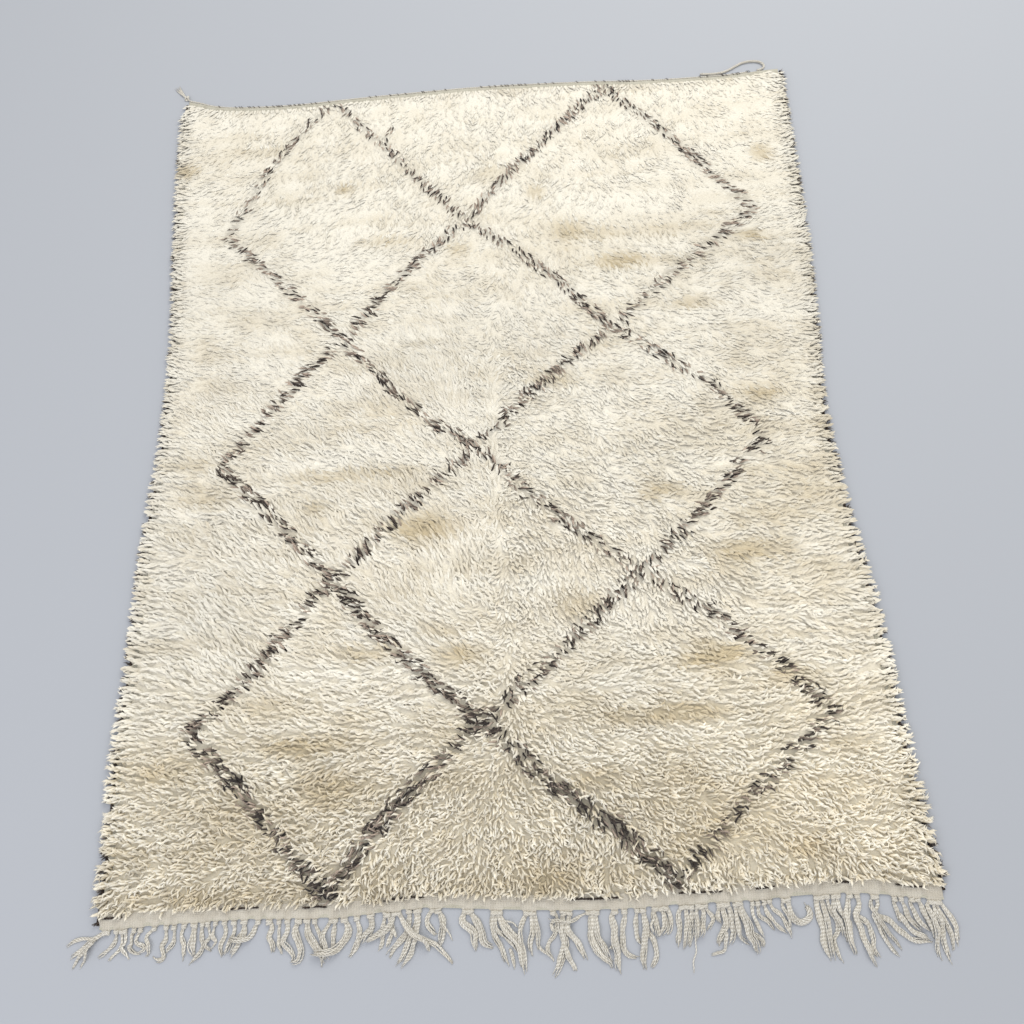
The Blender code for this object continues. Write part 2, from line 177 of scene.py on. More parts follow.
def dress_shader(tree, shader, colour, normal):
    """Link the two outputs that a finished material hands to its shader."""
    tree.links.new(colour, shader.inputs["Base Color"])
    tree.links.new(normal, shader.inputs["Normal"])


print("cream in linear light:", [round(value, 3) for value in linear("#EFE6D0")])

# %% [markdown]
# ## Wool materials
# The pile is undyed sheep's wool, spun by hand: matt, a little fuzzy at its edges, and never one colour, because each
# lock comes from another part of the fleece. Every lock carries an attribute made when it is planted: red is its own
# lightness, green how much it has yellowed, and blue runs up to 1 at its tip, from a lower value at a shaded foot
# and a higher one at a pale foot. The shader reads those, so the colours stay with the locks in every view.

# %% Pile wool
SHADED_TO = 0.8  # value of the lock's blue channel above which nothing of the root's colour is left
LOCK_GRAIN = (1300.0, 200.0, 1.0)  # on a lock's own cell: streaks about 2 mm wide and 16 mm long, partly fibre tone and partly painted shade between strands
BED_GRAIN = (200.0, 380.0, 1.0)  # on a map in metres: streaks 5 mm long and 2.6 mm high, partly fibre tone and partly painted shade between the feet


def wool_material(name, pale, warm, root, fibre_tone_and_shade, grain_map="OFBake", grain=LOCK_GRAIN):
    """Matt wool whose colour runs from a shaded root to a pale tip and warms where the fleece had yellowed."""
    made, tree, shader = start_material(
        name, Roughness=0.92, Sheen_Weight=0.15, Sheen_Roughness=0.6, Specular_IOR_Level=0.25
    )
    lock = add_node(tree, "Attribute", attribute_name="lock")
    own, yellowed, up = add_node(tree, "SeparateColor", {"Color": lock.outputs["Color"]}).outputs
    fleece = add_node(tree, "Mix", {"Factor": yellowed, "A": linear(pale), "B": linear(warm)}, data_type="RGBA")
    shade = add_node(tree, "MapRange", {"Value": up, "From Min": 0.0, "From Max": SHADED_TO})
    grown = {"Factor": shade.outputs["Result"], "A": linear(root), "B": fleece.outputs["Result"]}
    grown = add_node(tree, "Mix", grown, data_type="RGBA")
    place = add_node(tree, "UVMap", uv_map=grain_map)
    stretched = add_node(tree, "Mapping", {"Vector": place.outputs["UV"], "Scale": grain})
    fibres = add_node(
        tree, "TexNoise", {"Vector": stretched.outputs["Vector"], "Scale": 1.0, "Detail": 2.0}
    ).outputs["Fac"]
    # The darker streaks are partly the fibres' own tone and partly painted shade between the strands.
    streak = add_node(
        tree, "MapRange", {"Value": fibres, "From Min": 0.3, "From Max": 0.6, "To Min": fibre_tone_and_shade, "To Max": 1.04}
    )
    bright = add_node(tree, "Math", {0: own, 1: streak.outputs["Result"]}, operation="MULTIPLY")
    light = add_node(
        tree, "HueSaturation", {"Color": grown.outputs["Result"], "Value": bright.outputs["Value"]}
    )
    bump = add_node(tree, "Bump", {"Height": fibres, "Strength": 0.5, "Distance": 0.0006})
    dress_shader(tree, shader, light.outputs["Color"], bump.outputs["Normal"])
    return made


CREAM = ("#F7F1E1", "#D6C5A2", "#CBBD9D")  # pale tip, yellowed fleece, shaded root
# Cream fleece: soft and light, with tan and straw-coloured lots where the lanolin has yellowed.
cream_wool = wool_material("hand-spun cream sheep's wool", *CREAM, 0.83)
# The dense feet of the locks: the same fleece, seen as short streaks, partly painted shade between them.
fleece_bed = wool_material("dense feet of cream sheep's wool", *CREAM, 0.86, "strand", BED_GRAIN)
# Dark fleece: charcoal brown, with painted shade that darkens it further at the root, and tips that the sun has faded
# to grey-brown.
dark_wool = wool_material("hand-spun charcoal brown sheep's wool", "#AC9B8B", "#3D2F28", "#2E2420", 0.6)
print("pile wools:", cream_wool.name, "and", dark_wool.name)

# %% [markdown]
# ## One lock of pile
# A knot leaves a lock of wool standing in the cloth: thick and round at its foot, widest in the middle and worn to
# a soft point. It could be a hair curve, but a rug needs tens of thousands, and each must be a closed mesh. So one
# lock is modelled from a three-sided cylinder, with two cuts along it and rings scaled one by one, and then copied.

# %% Model the lock once


def select_where(obj, test):
    """In edit mode, select the vertices that pass a test on their place."""
    bpy.ops.object.mode_set(mode="OBJECT")
    for vert in obj.data.vertices:
        vert.select = test(vert.co)
    for part in (*obj.data.edges, *obj.data.polygons):
        part.select = all(obj.data.vertices[v].select for v in part.vertices)
    bpy.ops.object.mode_set(mode="EDIT")


def model_lock(name, rings):
    """A unit lock along +Z; rings are (share of the length, share of the width) and the last one is the tip."""
    bpy.ops.object.select_all(action="DESELECT")
    bpy.ops.mesh.primitive_cylinder_add(vertices=3, radius=0.5, depth=1.0, location=(0, 0, 0.5))
    made = bpy.context.object
    made.name = name
    bpy.ops.object.transform_apply(location=True, rotation=True, scale=True)
    bpy.ops.object.mode_set(mode="EDIT")
    bpy.ops.mesh.select_mode(type="VERT")
    for share, _ in rings[1:-1]:
        bpy.ops.mesh.select_all(action="SELECT")
        bpy.ops.mesh.bisect(plane_co=(0, 0, share), plane_no=(0, 0, 1))
    for share, width in rings[:-1]:
        select_where(made, lambda co, share=share: abs(co.z - share) < 0.01)
        bpy.ops.transform.resize(value=(width, width, 1))
    select_where(made, lambda co: co.z > 0.99)
    bpy.ops.mesh.merge(type="CENTER")
    bpy.ops.mesh.select_all(action="SELECT")
    bpy.ops.mesh.normals_make_consistent(inside=False)
    bpy.ops.object.mode_set(mode="OBJECT")
    return made


long_lock = model_lock("long_lock", ((0.0, 0.75), (0.36, 1.0), (0.74, 0.84), (1.0, 0.0)))
short_lock = model_lock("short_lock", ((0.0, 0.85), (0.6, 1.0), (1.0, 0.0)))
for one in (long_lock, short_lock):
    print(one.name, "has", len(one.data.vertices), "vertices and", len(one.data.polygons), "faces")

# %% [markdown]
# ## Planting copies of a lock
# Each copy keeps the lock's faces and gets its own bend: it leaves the cloth steeply and leans over more and more,
# towards a heading in the plane of the rug, with a small wave to one side. Where feet have pressed the pile flat, a
# laid lock is flatter and leans from its root on. Doing that with objects or modifiers would be far too slow for so
# many, so the points of all the copies are worked out together and written into one mesh. Every copy also gets its
# own small cell of the UV map, so that nothing overlaps when the colours are baked.

# %% Meshes from arrays


def write(items, key, values, kind=np.float32):
    """Fill one property of all the items of a mesh at once."""
    items.foreach_set(key, np.asarray(values).astype(kind).ravel())


def smooth(mesh):
    """Let a mesh look round instead of faceted."""
    write(mesh.polygons, "use_smooth", np.ones(len(mesh.polygons)), bool)


def tint_points(mesh, colours):
    """Keep lightness, warmth and the place along a lock or strand on the points of its mesh."""
    write(mesh.color_attributes.new("lock", "FLOAT_COLOR", "POINT").data, "color", colours)


def lay_map(mesh, name, places):
    """A UV map from the place of each corner."""
    write(mesh.uv_layers.new(name=name).data, "uv", places)


def places_of(obj):
    """The places of an object's points as an array."""
    return np.array([vert.co for vert in obj.data.vertices])


def bake_cells(mesh, cell_of_corner, inside, count):
    """A UV map with one square cell for each copy; inside is each corner's place in its cell, from 0 to 1."""
    across = math.ceil(math.sqrt(count))
    cell = np.stack([cell_of_corner % across, cell_of_corner // across], axis=-1)
    lay_map(mesh, "OFBake", (cell + 0.1 + 0.8 * inside) / across)


def object_of(name, mesh, material):
    """An object at the origin that shows a mesh in a material."""
    mesh.materials.append(material)
    made = bpy.data.objects.new(name, mesh)
    bpy.context.scene.collection.objects.link(made)
    mesh.calc_loop_triangles()
    print(name, "has", len(mesh.loop_triangles), "triangles")
    return made


def mesh_of(name, points, faces):
    """A smooth mesh from points and faces of three and four corners."""
    mesh = bpy.data.meshes.new(name)
    mesh.from_pydata(points, [], faces)
    smooth(mesh)
    return mesh


print("height of the model lock:", round(float(np.ptp(places_of(long_lock)[:, 2])), 2))

# %% Bend copies of a lock
FLATTEST = 1.62  # the furthest that a lock leans, in radians: its tip may point a little down
LOWEST = 0.0004  # no point of a lock lies lower
UP = np.array((0, 0, 1))


def turned(heading, shift):
    """Unit arrows on the floor for headings in radians, turned by a quarter for each shift."""
    angle = heading + shift * math.pi / 2
    return np.stack([np.cos(angle), np.sin(angle), angle * 0], axis=-1)


def bent_copies(co, roots, heading, lean, length, width, wave, laid):
    """The points of all the copies: each step of the lock follows its spine, which leans more towards the tip."""
    steps = np.unique(co[:, 2].round(4))
    forward, across = turned(heading, 0), turned(heading, 1)
    spine, tangents = [roots], []
    for k, step in enumerate(steps):
        angle = np.clip(lean * (0.45 + 0.60 * laid + (1.05 - 0.70 * laid) * step), 0.0, FLATTEST)
        tangents.append(forward * np.sin(angle)[:, None] + UP * np.cos(angle)[:, None])
        if k:
            run = (length * (step - steps[k - 1]))[:, None]
            spine.append(spine[-1] + run * (tangents[-1] + tangents[-2]) / 2)
    points = np.empty((len(roots), len(co), 3))
    thick = (0.6 - 0.26 * laid)[:, None]
    for v, (x, y, z) in enumerate(co):
        k = int(np.argmin(abs(steps - z)))
        up = np.cross(tangents[k], across)
        sway = (wave * math.sin(2.4 * math.pi * steps[k]) * steps[k])[:, None] * across
        points[:, v] = spine[k] + sway + width[:, None] * (x * across + thick * y * up)
    points[..., 2] = np.maximum(points[..., 2], LOWEST * (1 + co[:, 1] + 0.5))
    return points


lie = (np.full(1, value) for value in (0.0, 0.92, 23 * MM, 6 * MM, 0.0, 0.0))
bent = bent_copies(places_of(long_lock), np.zeros((1, 3)), *lie)
print("a lock 23 mm long reaches", round(float(bent[..., 2].max()) / MM, 1), "mm up when it leans")

# %% Unroll a lock, and turn its shading


def unrolled(co, corners, count):
    """Each corner's copy and its place in that copy's cell: round the lock and up it."""
    turn = (np.arctan2(co[:, 1], co[:, 0]) / (2 * math.pi)) % 1.0
    cell, inside = [], []
    for corner in corners:
        u, up = turn[corner].copy(), co[corner][:, 2]
        u[up > 0.99] = u[up < 0.99].mean()
        if u.max() - u.min() > 0.5:
            u[u < 0.5] += 1.0
        inside.append(np.tile(np.stack([u * 0.75, up], axis=-1), (count, 1)))
        cell.append(np.repeat(np.arange(count), len(corner)))
    return np.concatenate(cell), np.concatenate(inside)


def turn_normals_up(mesh, share):
    """Turn the shading of each point upwards by its share, as in wool that light passes through."""
    normals = np.empty(len(mesh.vertices) * 3, np.float32)
    mesh.vertex_normals.foreach_get("vector", normals)
    normals = (1 - share) * normals.reshape(-1, 3) + share * np.array((0, 0, 1.0))
    normals /= np.maximum(np.linalg.norm(normals, axis=1), 1e-6)[:, None]
    mesh.normals_split_custom_set_from_vertices(normals)


cell, inside = unrolled(places_of(long_lock), [list(face.vertices) for face in long_lock.data.polygons], 1)
print("corners of one lock:", len(cell), "and the widest place in its cell:", round(float(inside.max()), 2))

# %% A function that plants locks


def plant(name, one, roots, heading, lean, length, width, wave, tint, material, laid=0.0, soft=None):
    """Plant one bent copy at each root. Lean is in radians from upright at half length; tint is (lightness, warmth,
    paleness of the foot); laid is 1 for a lock that leans from its root on, and soft turns its shading upwards."""
    count = len(roots)
    co = places_of(one)
    corners = [list(face.vertices) for face in one.data.polygons]
    laid = np.broadcast_to(laid, (count,))
    offsets = (np.arange(count) * len(co))[:, None]
    order = np.concatenate([(np.array(corner)[None, :] + offsets).ravel() for corner in corners])
    sizes = np.repeat([len(corner) for corner in corners], count)
    mesh = bpy.data.meshes.new(name)
    mesh.vertices.add(count * len(co))
    write(mesh.vertices, "co", bent_copies(co, roots, heading, lean, length, width, wave, laid))
    mesh.loops.add(len(order))
    write(mesh.loops, "vertex_index", order, np.int32)
    mesh.polygons.add(len(sizes))
    write(mesh.polygons, "loop_start", np.concatenate([[0], np.cumsum(sizes)[:-1]]), np.int32)
    smooth(mesh)
    mesh.update(calc_edges=True)
    mesh.validate()
    colours = np.ones((count, len(co), 4), np.float32)
    lightness, warmth, foot = (part[:, None] for part in tint)
    colours[..., 0], colours[..., 1] = lightness, warmth
    colours[..., 2] = foot + (1 - foot) * co[:, 2]
    tint_points(mesh, colours)
    bake_cells(mesh, *unrolled(co, corners, count), count)
    if soft is not None:
        turn_normals_up(mesh, np.repeat(soft, len(co))[:, None])
    print("locks planted:", count)
    return object_of(name, mesh, material)


# %% [markdown]
# ## How the pile lies
# Wool pile is never even. It was combed by feet and by rolling, so its heading drifts across the rug: outwards at
# the sides, towards the fringe at that end, and away from a parting down the middle. On top of that, neighbouring
# locks gather into wavy clumps and leave dark gaps. Smooth random fields of a few sizes make both kinds of drift.

# %% Smooth random fields
HILLS = 64  # hills of a field before it repeats
DICE = 128  # clumps before they repeat


def drift(x, y, pitch_x, pitch_y, seed):
    """A smooth random field from -1 to 1 whose hills are about one pitch apart."""
    random_at = np.random.default_rng(seed).uniform(-1, 1, (HILLS, HILLS))
    across, along = x / pitch_x + 32.0, y / pitch_y + 32.0
    i, j = np.floor(across).astype(int), np.floor(along).astype(int)
    u, v = across - i, along - j
    u, v = u * u * (3 - 2 * u), v * v * (3 - 2 * v)
    i, j, right, far = i % HILLS, j % HILLS, (i + 1) % HILLS, (j + 1) % HILLS
    low = random_at[i, j] * (1 - u) + random_at[right, j] * u
    high = random_at[i, far] * (1 - u) + random_at[right, far] * u
    return low * (1 - v) + high * v


def clumps(x, y, heading, pitch, stretch, seed):
    """Gather places into clumps that are longer along the heading: signed distance from each place to the axis of
    its clump in metres, and five random numbers from -1 to 1 that the clump's places share."""
    dice = np.random.default_rng(seed).uniform(-1, 1, (DICE, DICE, 7))
    cell_x, cell_y = np.floor(x / pitch).astype(int), np.floor(y / pitch).astype(int)
    best, off_axis, pick = np.full(len(x), np.inf), np.zeros(len(x)), np.zeros((2, len(x)), int)
    for i in range(-2, 3):
        for j in range(-2, 3):
            a, b = (cell_x + i) % DICE, (cell_y + j) % DICE
            dx = x - (cell_x + i + 0.5 + 0.45 * dice[a, b, 0]) * pitch
            dy = y - (cell_y + j + 0.5 + 0.45 * dice[a, b, 1]) * pitch
            along, across = dx * np.cos(heading) + dy * np.sin(heading), dy * np.cos(heading) - dx * np.sin(heading)
            away = (along / stretch) ** 2 + across**2
            near = away < best
            best[near], off_axis[near] = away[near], across[near]
            pick[:, near] = a[near], b[near]
    return off_axis, dice[pick[0], pick[1], 2:]


print("a field at three places:", drift(np.array((0.0, 0.1, 0.2)), np.zeros(3), 0.05, 0.05, 1).round(2))

# %% The combed pile
COMB_X = np.array((-0.80, -0.55, -0.30, -0.11, 0.09, 0.30, 0.55, 0.80))
COMB = np.array(  # y, then the pile's heading in degrees at each x of the row above: 0 is +X and 270 towards the fringe
    (
        (-0.98, 205, 198, 228, 262, 282, 290, 296, 318),
        (-0.86, 190, 178, 196, 250, 300, 325, 340, 345),
        (-0.72, 182, 178, 181, 185, 335, 338, 372, 360),
        (-0.57, 178, 155, 172, 170, 345, 352, 352, 360),
        (-0.40, 170, 148, 135, 120, 285, 268, 350, 363),
        (-0.21, 172, 145, 146, 125, 310, 325, 345, 362),
        (-0.05, 174, 152, 162, 128, 310, 325, 348, 364),
        (0.13, 176, 158, 155, 125, 310, 318, 332, 368),
        (0.35, 182, 165, 160, 150, 300, 322, 335, 373),
        (0.58, 188, 215, 245, 262, 272, 290, 330, 374),
        (0.80, 198, 248, 262, 270, 270, 272, 295, 374),
        (0.98, 215, 262, 268, 270, 270, 270, 280, 345),
    )
)


def between(at, keys):
    """The row of a table before each place, and how far the place is on its way to the next row."""
    row = np.clip(np.interp(at, keys, np.arange(len(keys))), 0, len(keys) - 1.001)
    return row.astype(int), (row - row.astype(int))[:, None]


def comb(x, y):
    """Heading arrows of the combed pile; near the parting the arrows shorten and the locks stand up."""
    (i, u), (j, v) = between(y, COMB[:, 0]), between(x, COMB_X)
    arrow = np.exp(1j * np.radians(COMB[:, 1:]))
    near = arrow[i, j][:, None] * (1 - u) + arrow[i + 1, j][:, None] * u
    far = arrow[i, j + 1][:, None] * (1 - u) + arrow[i + 1, j + 1][:, None] * u
    return (near * (1 - v) + far * v)[:, 0]


sample = comb(np.array((-0.7, 0.0, 0.7)), np.array((-0.7, -0.7, -0.7)))
print("headings across the lower part in degrees:", np.degrees(np.angle(sample)).round())

# %% [markdown]
# ## The lattice and the yellowed lots
# The weaver counts knots to draw the diamonds, and the lines bend a little as the count slips. So each line runs from
# one crossing to the next with its own small lift. The yellowed lots are wide and low, because a lot of yarn is used
# up row by row. Both are lists of places on the rug, in millimetres.

# %% Crossings and lines of the lattice
CROSSINGS = {  # x, y in mm
    "t1": (-400, 962), "t2": (304, 958), "a1": (-650, 545), "a2": (-62, 557), "a3": (646, 544),
    "b1": (-355, 229), "b2": (275, 230), "c1": (-622, -81), "c2": (-46, -56), "c3": (592, -72),
    "d1": (-369, -349), "d2": (290, -366), "e1": (-652, -668), "e2": (-55, -667), "e3": (650, -675),
    "f1": (-367, -984), "f2": (310, -984),
}
LATTICE = (  # from, to, lift at a third and at two thirds in mm, width in mm, share of cream knots among the dark
    ("t1", "a1", 24, 42, 24, 0.65),
    ("t1", "a2", 2, -2, 24, 0.50),
    ("a2", "t2", 15, 7, 25, 0.36),
    ("t2", "a3", 17, 3, 24, 0.45),
    ("a1", "b1", 3, 8, 22, 0.45),
    ("a2", "b1", 15, 20, 25, 0.53),
    ("a2", "b2", 18, 18, 27, 0.43),
    ("a3", "b2", 6, 15, 26, 0.65),
    ("b1", "c1", 22, 13, 25, 0.61),
    ("b1", "c2", -14, -30, 25, 0.53),
    ("b2", "c2", 14, 19, 26, 0.47),
    ("b2", "c3", 17, 36, 26, 0.63),
    ("c1", "d1", 6, -2, 26, 0.49),
    ("c2", "d1", 5, 0, 27, 0.53),
    ("c2", "d2", -26, -9, 27, 0.51),
    ("c3", "d2", -2, -6, 26, 0.44),
    ("d1", "e1", -9, -12, 27, 0.43),
    ("d1", "e2", -20, -13, 29, 0.25),
    ("d2", "e2", -2, -8, 29, 0.47),
    ("d2", "e3", 16, 14, 27, 0.49),
    ("e1", "f1", 10, 5, 28, 0.36),
    ("e2", "f1", 18, 19, 33, 0.37),
    ("e2", "f2", -15, 7, 33, 0.23),
    ("e3", "f2", 2, 13, 28, 0.59),
)
TICK = ((-266, 818), (-246, 858), 9, 0.45)  # a short spur off the second line, its width and its share of cream


def lattice_line(start, end, first, second):
    """Places along one line of the lattice."""
    t = np.linspace(0, 1, 13)
    run = np.outer(1 - t, start) + np.outer(t, end)
    thirds = (0, 1 / 3, 2 / 3, 1)
    run[:, 1] += first * np.interp(t, thirds, (0, 1, 0.25, 0))
    run[:, 1] += second * np.interp(t, thirds, (0, 0.25, 1, 0))
    return run * MM


def nearest_line(x, y):
    """For each place: how far it is from the nearest lattice line, in half widths of it, and that line's share of
    cream."""
    best, share = np.full(len(x), 99.0), np.zeros(len(x))
    lines = [(lattice_line(CROSSINGS[a], CROSSINGS[b], p, q), w, s) for a, b, p, q, w, s in LATTICE]
    lines.append((np.linspace(TICK[0], TICK[1], 3) * MM, *TICK[2:]))
    for run, wide, cream in lines:
        for (ax, ay), (bx, by) in zip(run[:-1], run[1:]):
            length = math.hypot(bx - ax, by - ay)
            ux, uy = (bx - ax) / length, (by - ay) / length
            t = np.clip((x - ax) * ux + (y - ay) * uy, 0, length)
            away = np.hypot(x - ax - t * ux, y - ay - t * uy) / (wide * MM / 2)
            closer = away < best
            best[closer], share[closer] = away[closer], cream
    return best, share


print("lattice lines:", len(LATTICE))

# %% Yellowed lots of the fleece
LOTS = (  # x, y, half width, half height in mm, strength of the yellow
    (-765, 760, 34, 26, 0.7), (-360, 680, 25, 20, 0.7), (-560, 820, 90, 16, 0.35),
    (-250, 520, 70, 14, 0.5), (-300, 570, 200, 10, 0.3), (115, 640, 26, 22, 0.65),
    (180, 520, 40, 30, 0.6), (330, 500, 220, 16, 0.5), (300, 430, 56, 26, 0.65),
    (330, 418, 150, 14, 0.5), (620, 475, 45, 14, 0.7), (680, 720, 28, 30, 0.8),
    (-70, 480, 26, 18, 0.5), (120, 110, 60, 20, 0.45), (580, 50, 50, 24, 0.5),
    (470, 290, 60, 18, 0.5), (-680, -75, 90, 18, 0.6), (-660, -150, 60, 28, 0.5),
    (-330, -115, 150, 16, 0.45), (-400, -190, 40, 14, 0.4), (-160, -250, 74, 42, 0.85),
    (350, -180, 60, 22, 0.5), (500, -330, 90, 36, 0.55), (150, -420, 50, 30, 0.5),
    (-130, -480, 50, 20, 0.6), (-80, -530, 60, 22, 0.7), (-300, -520, 80, 22, 0.5),
    (420, -560, 66, 42, 0.95), (330, -665, 130, 22, 0.7), (550, -600, 70, 26, 0.45),
    (-470, -620, 90, 24, 0.5), (-420, -700, 80, 26, 0.7), (-370, -780, 60, 38, 0.6),
    (-690, -745, 60, 26, 0.6), (-600, -970, 120, 18, 0.6), (660, -740, 60, 22, 0.45),
    (560, -930, 50, 24, 0.6), (60, -950, 140, 34, 0.5), (160, -780, 50, 26, 0.4),
    (640, -180, 200, 300, 0.28), (430, -860, 200, 90, 0.30), (-500, -880, 110, 90, 0.25),
)


def yellowing(x, y):
    """How yellowed the fleece is: the lots, and faint streaks along the rows between them."""
    tone = 0.16 - 0.05 * y + 0.16 * drift(x, y, 0.30, 0.016, 41) + 0.12 * drift(x, y, 0.11, 0.05, 42)
    tone += 0.14 * drift(x, y, 0.045, 0.03, 44)
    edge = 0.25 * drift(x, y, 0.05, 0.02, 43)
    for lot_x, lot_y, half_x, half_y, strength in LOTS:
        away = np.hypot((x - lot_x * MM) / (half_x * MM), (y - lot_y * MM) / (half_y * MM)) + edge
        tone += strength * np.clip(1.35 - away, 0, 1) * 0.9
    return np.clip(tone, 0, 1)


print("yellowed lots:", len(LOTS))

# %% Patches of tone and painted light, and how the pile changes along the rug
TONE_AND_LIGHT_PATCHES = (  # x, y, half width, half height in metres, how much paler (or darker) that part is made: partly the fleece's own tone and partly painted light and shade that evens out the lamps
    (-0.64, 0.38, 0.25, 0.35, -0.050),
    (-0.68, -0.42, 0.20, 0.30, -0.070),
    (0.62, 0.36, 0.28, 0.32, -0.080),
    (0.00, 0.16, 0.30, 0.20, -0.075),
    (0.64, -0.82, 0.28, 0.30, 0.115),
    (0.62, -0.35, 0.25, 0.30, 0.030),
)


def tone_and_light_patches(x, y):
    """How much paler than usual the fleece is made, in soft wide patches: partly its own tone and partly painted light
    and shade that evens out how the lamps light the rug.
    """
    tone = x * 0
    for patch_x, patch_y, half_x, half_y, amount in TONE_AND_LIGHT_PATCHES:
        tone += amount * np.exp(-(((x - patch_x) / half_x) ** 2) - ((y - patch_y) / half_y) ** 2)
    return tone


def lowered(y):
    """1 at the fringed end, where the pile stands lowest, and 0 from the middle of the plain half on."""
    return np.clip(0.5 - (y + 0.02) / 0.9, 0, 1)


def curled(y):
    """How far the locks have curled up and matted: most at the fringed end."""
    return np.interp(y, (-1.0, -0.8, -0.5, -0.1, 0.4), (1.0, 0.85, 0.22, 0.0, 0.0))


print("washes:", len(TONE_AND_LIGHT_PATCHES), "and curl at three places:", curled(np.array((-0.9, -0.3, 0.5))).round(2))

# %% [markdown]
# ## The ground cloth
# Under the pile is a plain weave, and it shows at the two flat ends and on the back. It is a grid shaped to the
# cloth's edges and given its thickness with Solidify, which keeps it one closed sheet.

# %% Weave material


def weave_material(name, pale, shade, pitch):
    """Close plain weave of wool: fine ribs both ways, with the wefts standing out, and a little unevenness."""
    made, tree, shader = start_material(name, Roughness=0.9, Sheen_Weight=0.25, Specular_IOR_Level=0.25)
    place = add_node(tree, "TexCoord").outputs["Object"]
    ribs = []
    for direction, size in (("Y", pitch), ("X", pitch * 1.6)):
        # One wave is 2 pi / (20 * scale) metres long, so the scale comes from the spacing of the yarns.
        wave = {"Vector": place, "Scale": math.pi / (10 * size), "Distortion": 1.2, "Detail": 1.0}
        ribs.append(add_node(tree, "TexWave", wave, bands_direction=direction).outputs["Fac"])
    woven = add_node(tree, "Math", {0: ribs[0], 1: ribs[1], 2: 0.2}, operation="MULTIPLY_ADD")
    uneven = add_node(tree, "TexNoise", {"Vector": place, "Scale": 60.0, "Detail": 3.0})
    tone = {"Factor": uneven.outputs["Fac"], "A": linear(pale), "B": linear(shade)}
    tone = add_node(tree, "Mix", tone, data_type="RGBA")
    bump = add_node(tree, "Bump", {"Height": woven.outputs["Value"], "Strength": 0.8, "Distance": 0.0008})
    dress_shader(tree, shader, tone.outputs["Result"], bump.outputs["Normal"])
    return made


# Flat-woven wool band: paler and closer than the pile, and a little grey.
band_weave = weave_material("flat-woven cream wool", "#D9D3C5", "#B4AB9A", 0.0030)
# Ground weave: the same wool, beaten looser, and greyer, which is painted shade where it shows at the plain end, under
# the edge of the pile.
ground_weave = weave_material("loosely woven wool greyed by painted shade", "#CDC9B9", "#A8A290", 0.0034)
print("weaves:", band_weave.name, "and", ground_weave.name)

# %% Make the cloth
BACK = 0.0008  # how far the back of the cloth lies above the floor


def unit_grid(name, columns, rows):
    """A grid one metre wide and long, round the origin."""
    bpy.ops.object.select_all(action="DESELECT")
    bpy.ops.mesh.primitive_grid_add(x_subdivisions=columns, y_subdivisions=rows, size=1.0)
    made = bpy.context.object
    made.name = name
    return made


cloth = unit_grid("ground_cloth", 44, 58)
flat = places_of(cloth)
place_x, place_y = on_cloth(flat[:, 0] + 0.5, flat[:, 1] + 0.5)
buckle = 0.0006 * drift(place_x, place_y, 0.07, 0.05, 3)
write(cloth.data.vertices, "co", np.stack([place_x, place_y, CLOTH + buckle], axis=-1))
solid = cloth.modifiers.new("thickness", "SOLIDIFY")
solid.thickness = CLOTH - BACK
solid.offset = -1.0
bpy.ops.object.modifier_apply(modifier="thickness")
cloth.data.materials.append(ground_weave)
cloth.data.update()
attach(cloth, "root")
print("ground cloth:", len(cloth.data.polygons), "faces")

# %% [markdown]
# ## Knots of the pile
# The knots sit in rows across the cloth, one row for every few wefts, and half a knot further along in every second
# row. One more row on each side hangs over the binding. A grid with a random shift gives just that.

# %% Places of the knots
ZONES = (  # share of the rug's length from, to, rows of knots, knots in a row
    (0.0, 0.5, 120, 236),
    (0.5, 1.0, 138, 222),
)
ZONE_LINE = -0.02  # y where the second zone begins at a side
RIM_KNOTS = 520  # knots of the row that hangs over each side
RIM_IN = 0.0012  # how far inside the cloth's side that row stands
AREA = 3.12  # of the knotted cloth in square metres
draw = np.random.default_rng(7)
x, y, zone = np.zeros(0), np.zeros(0), np.zeros(0, int)
for number, (low, high, rows, knots_a_row) in enumerate(ZONES):
    row, knot = np.divmod(np.arange(rows * knots_a_row), knots_a_row)
    at_x, at_y = on_cloth(
        (knot + 0.25 + 0.5 * (row % 2) + draw.uniform(-0.3, 0.3, len(row))) / knots_a_row,
        low + (high - low) * (row + 0.5 + draw.uniform(-0.2, 0.2, len(row))) / rows,
        BAND + 0.004,
        PLAIN_END - 0.001,
    )
    x, y, zone = np.append(x, at_x), np.append(y, at_y), np.append(zone, np.full(len(row), number))
for side in (-1, 1):
    rim_y = np.linspace(-0.985, 0.972, RIM_KNOTS) + draw.normal(0, 0.0016, RIM_KNOTS)
    x, y = np.append(x, side_x(side, rim_y) - side * RIM_IN), np.append(y, rim_y)
    zone = np.append(zone, (rim_y > ZONE_LINE).astype(int))
count = len(x)
from_side, from_end = to_rim(x, y)
lower, matted = lowered(y), curled(y)
print("knots:", count, "or", round(count / AREA), "to a square metre")

# %% [markdown]
# ## How each lock lies
# Each knot gets its heading from the combing, and then its lean, its length and its width. A few creases part the
# rows, and the pile of the plain end has been pressed flat, while that of the fringed end has curled. A particle
# system could do some of this, but arrays let each of these follow its own place on the rug.

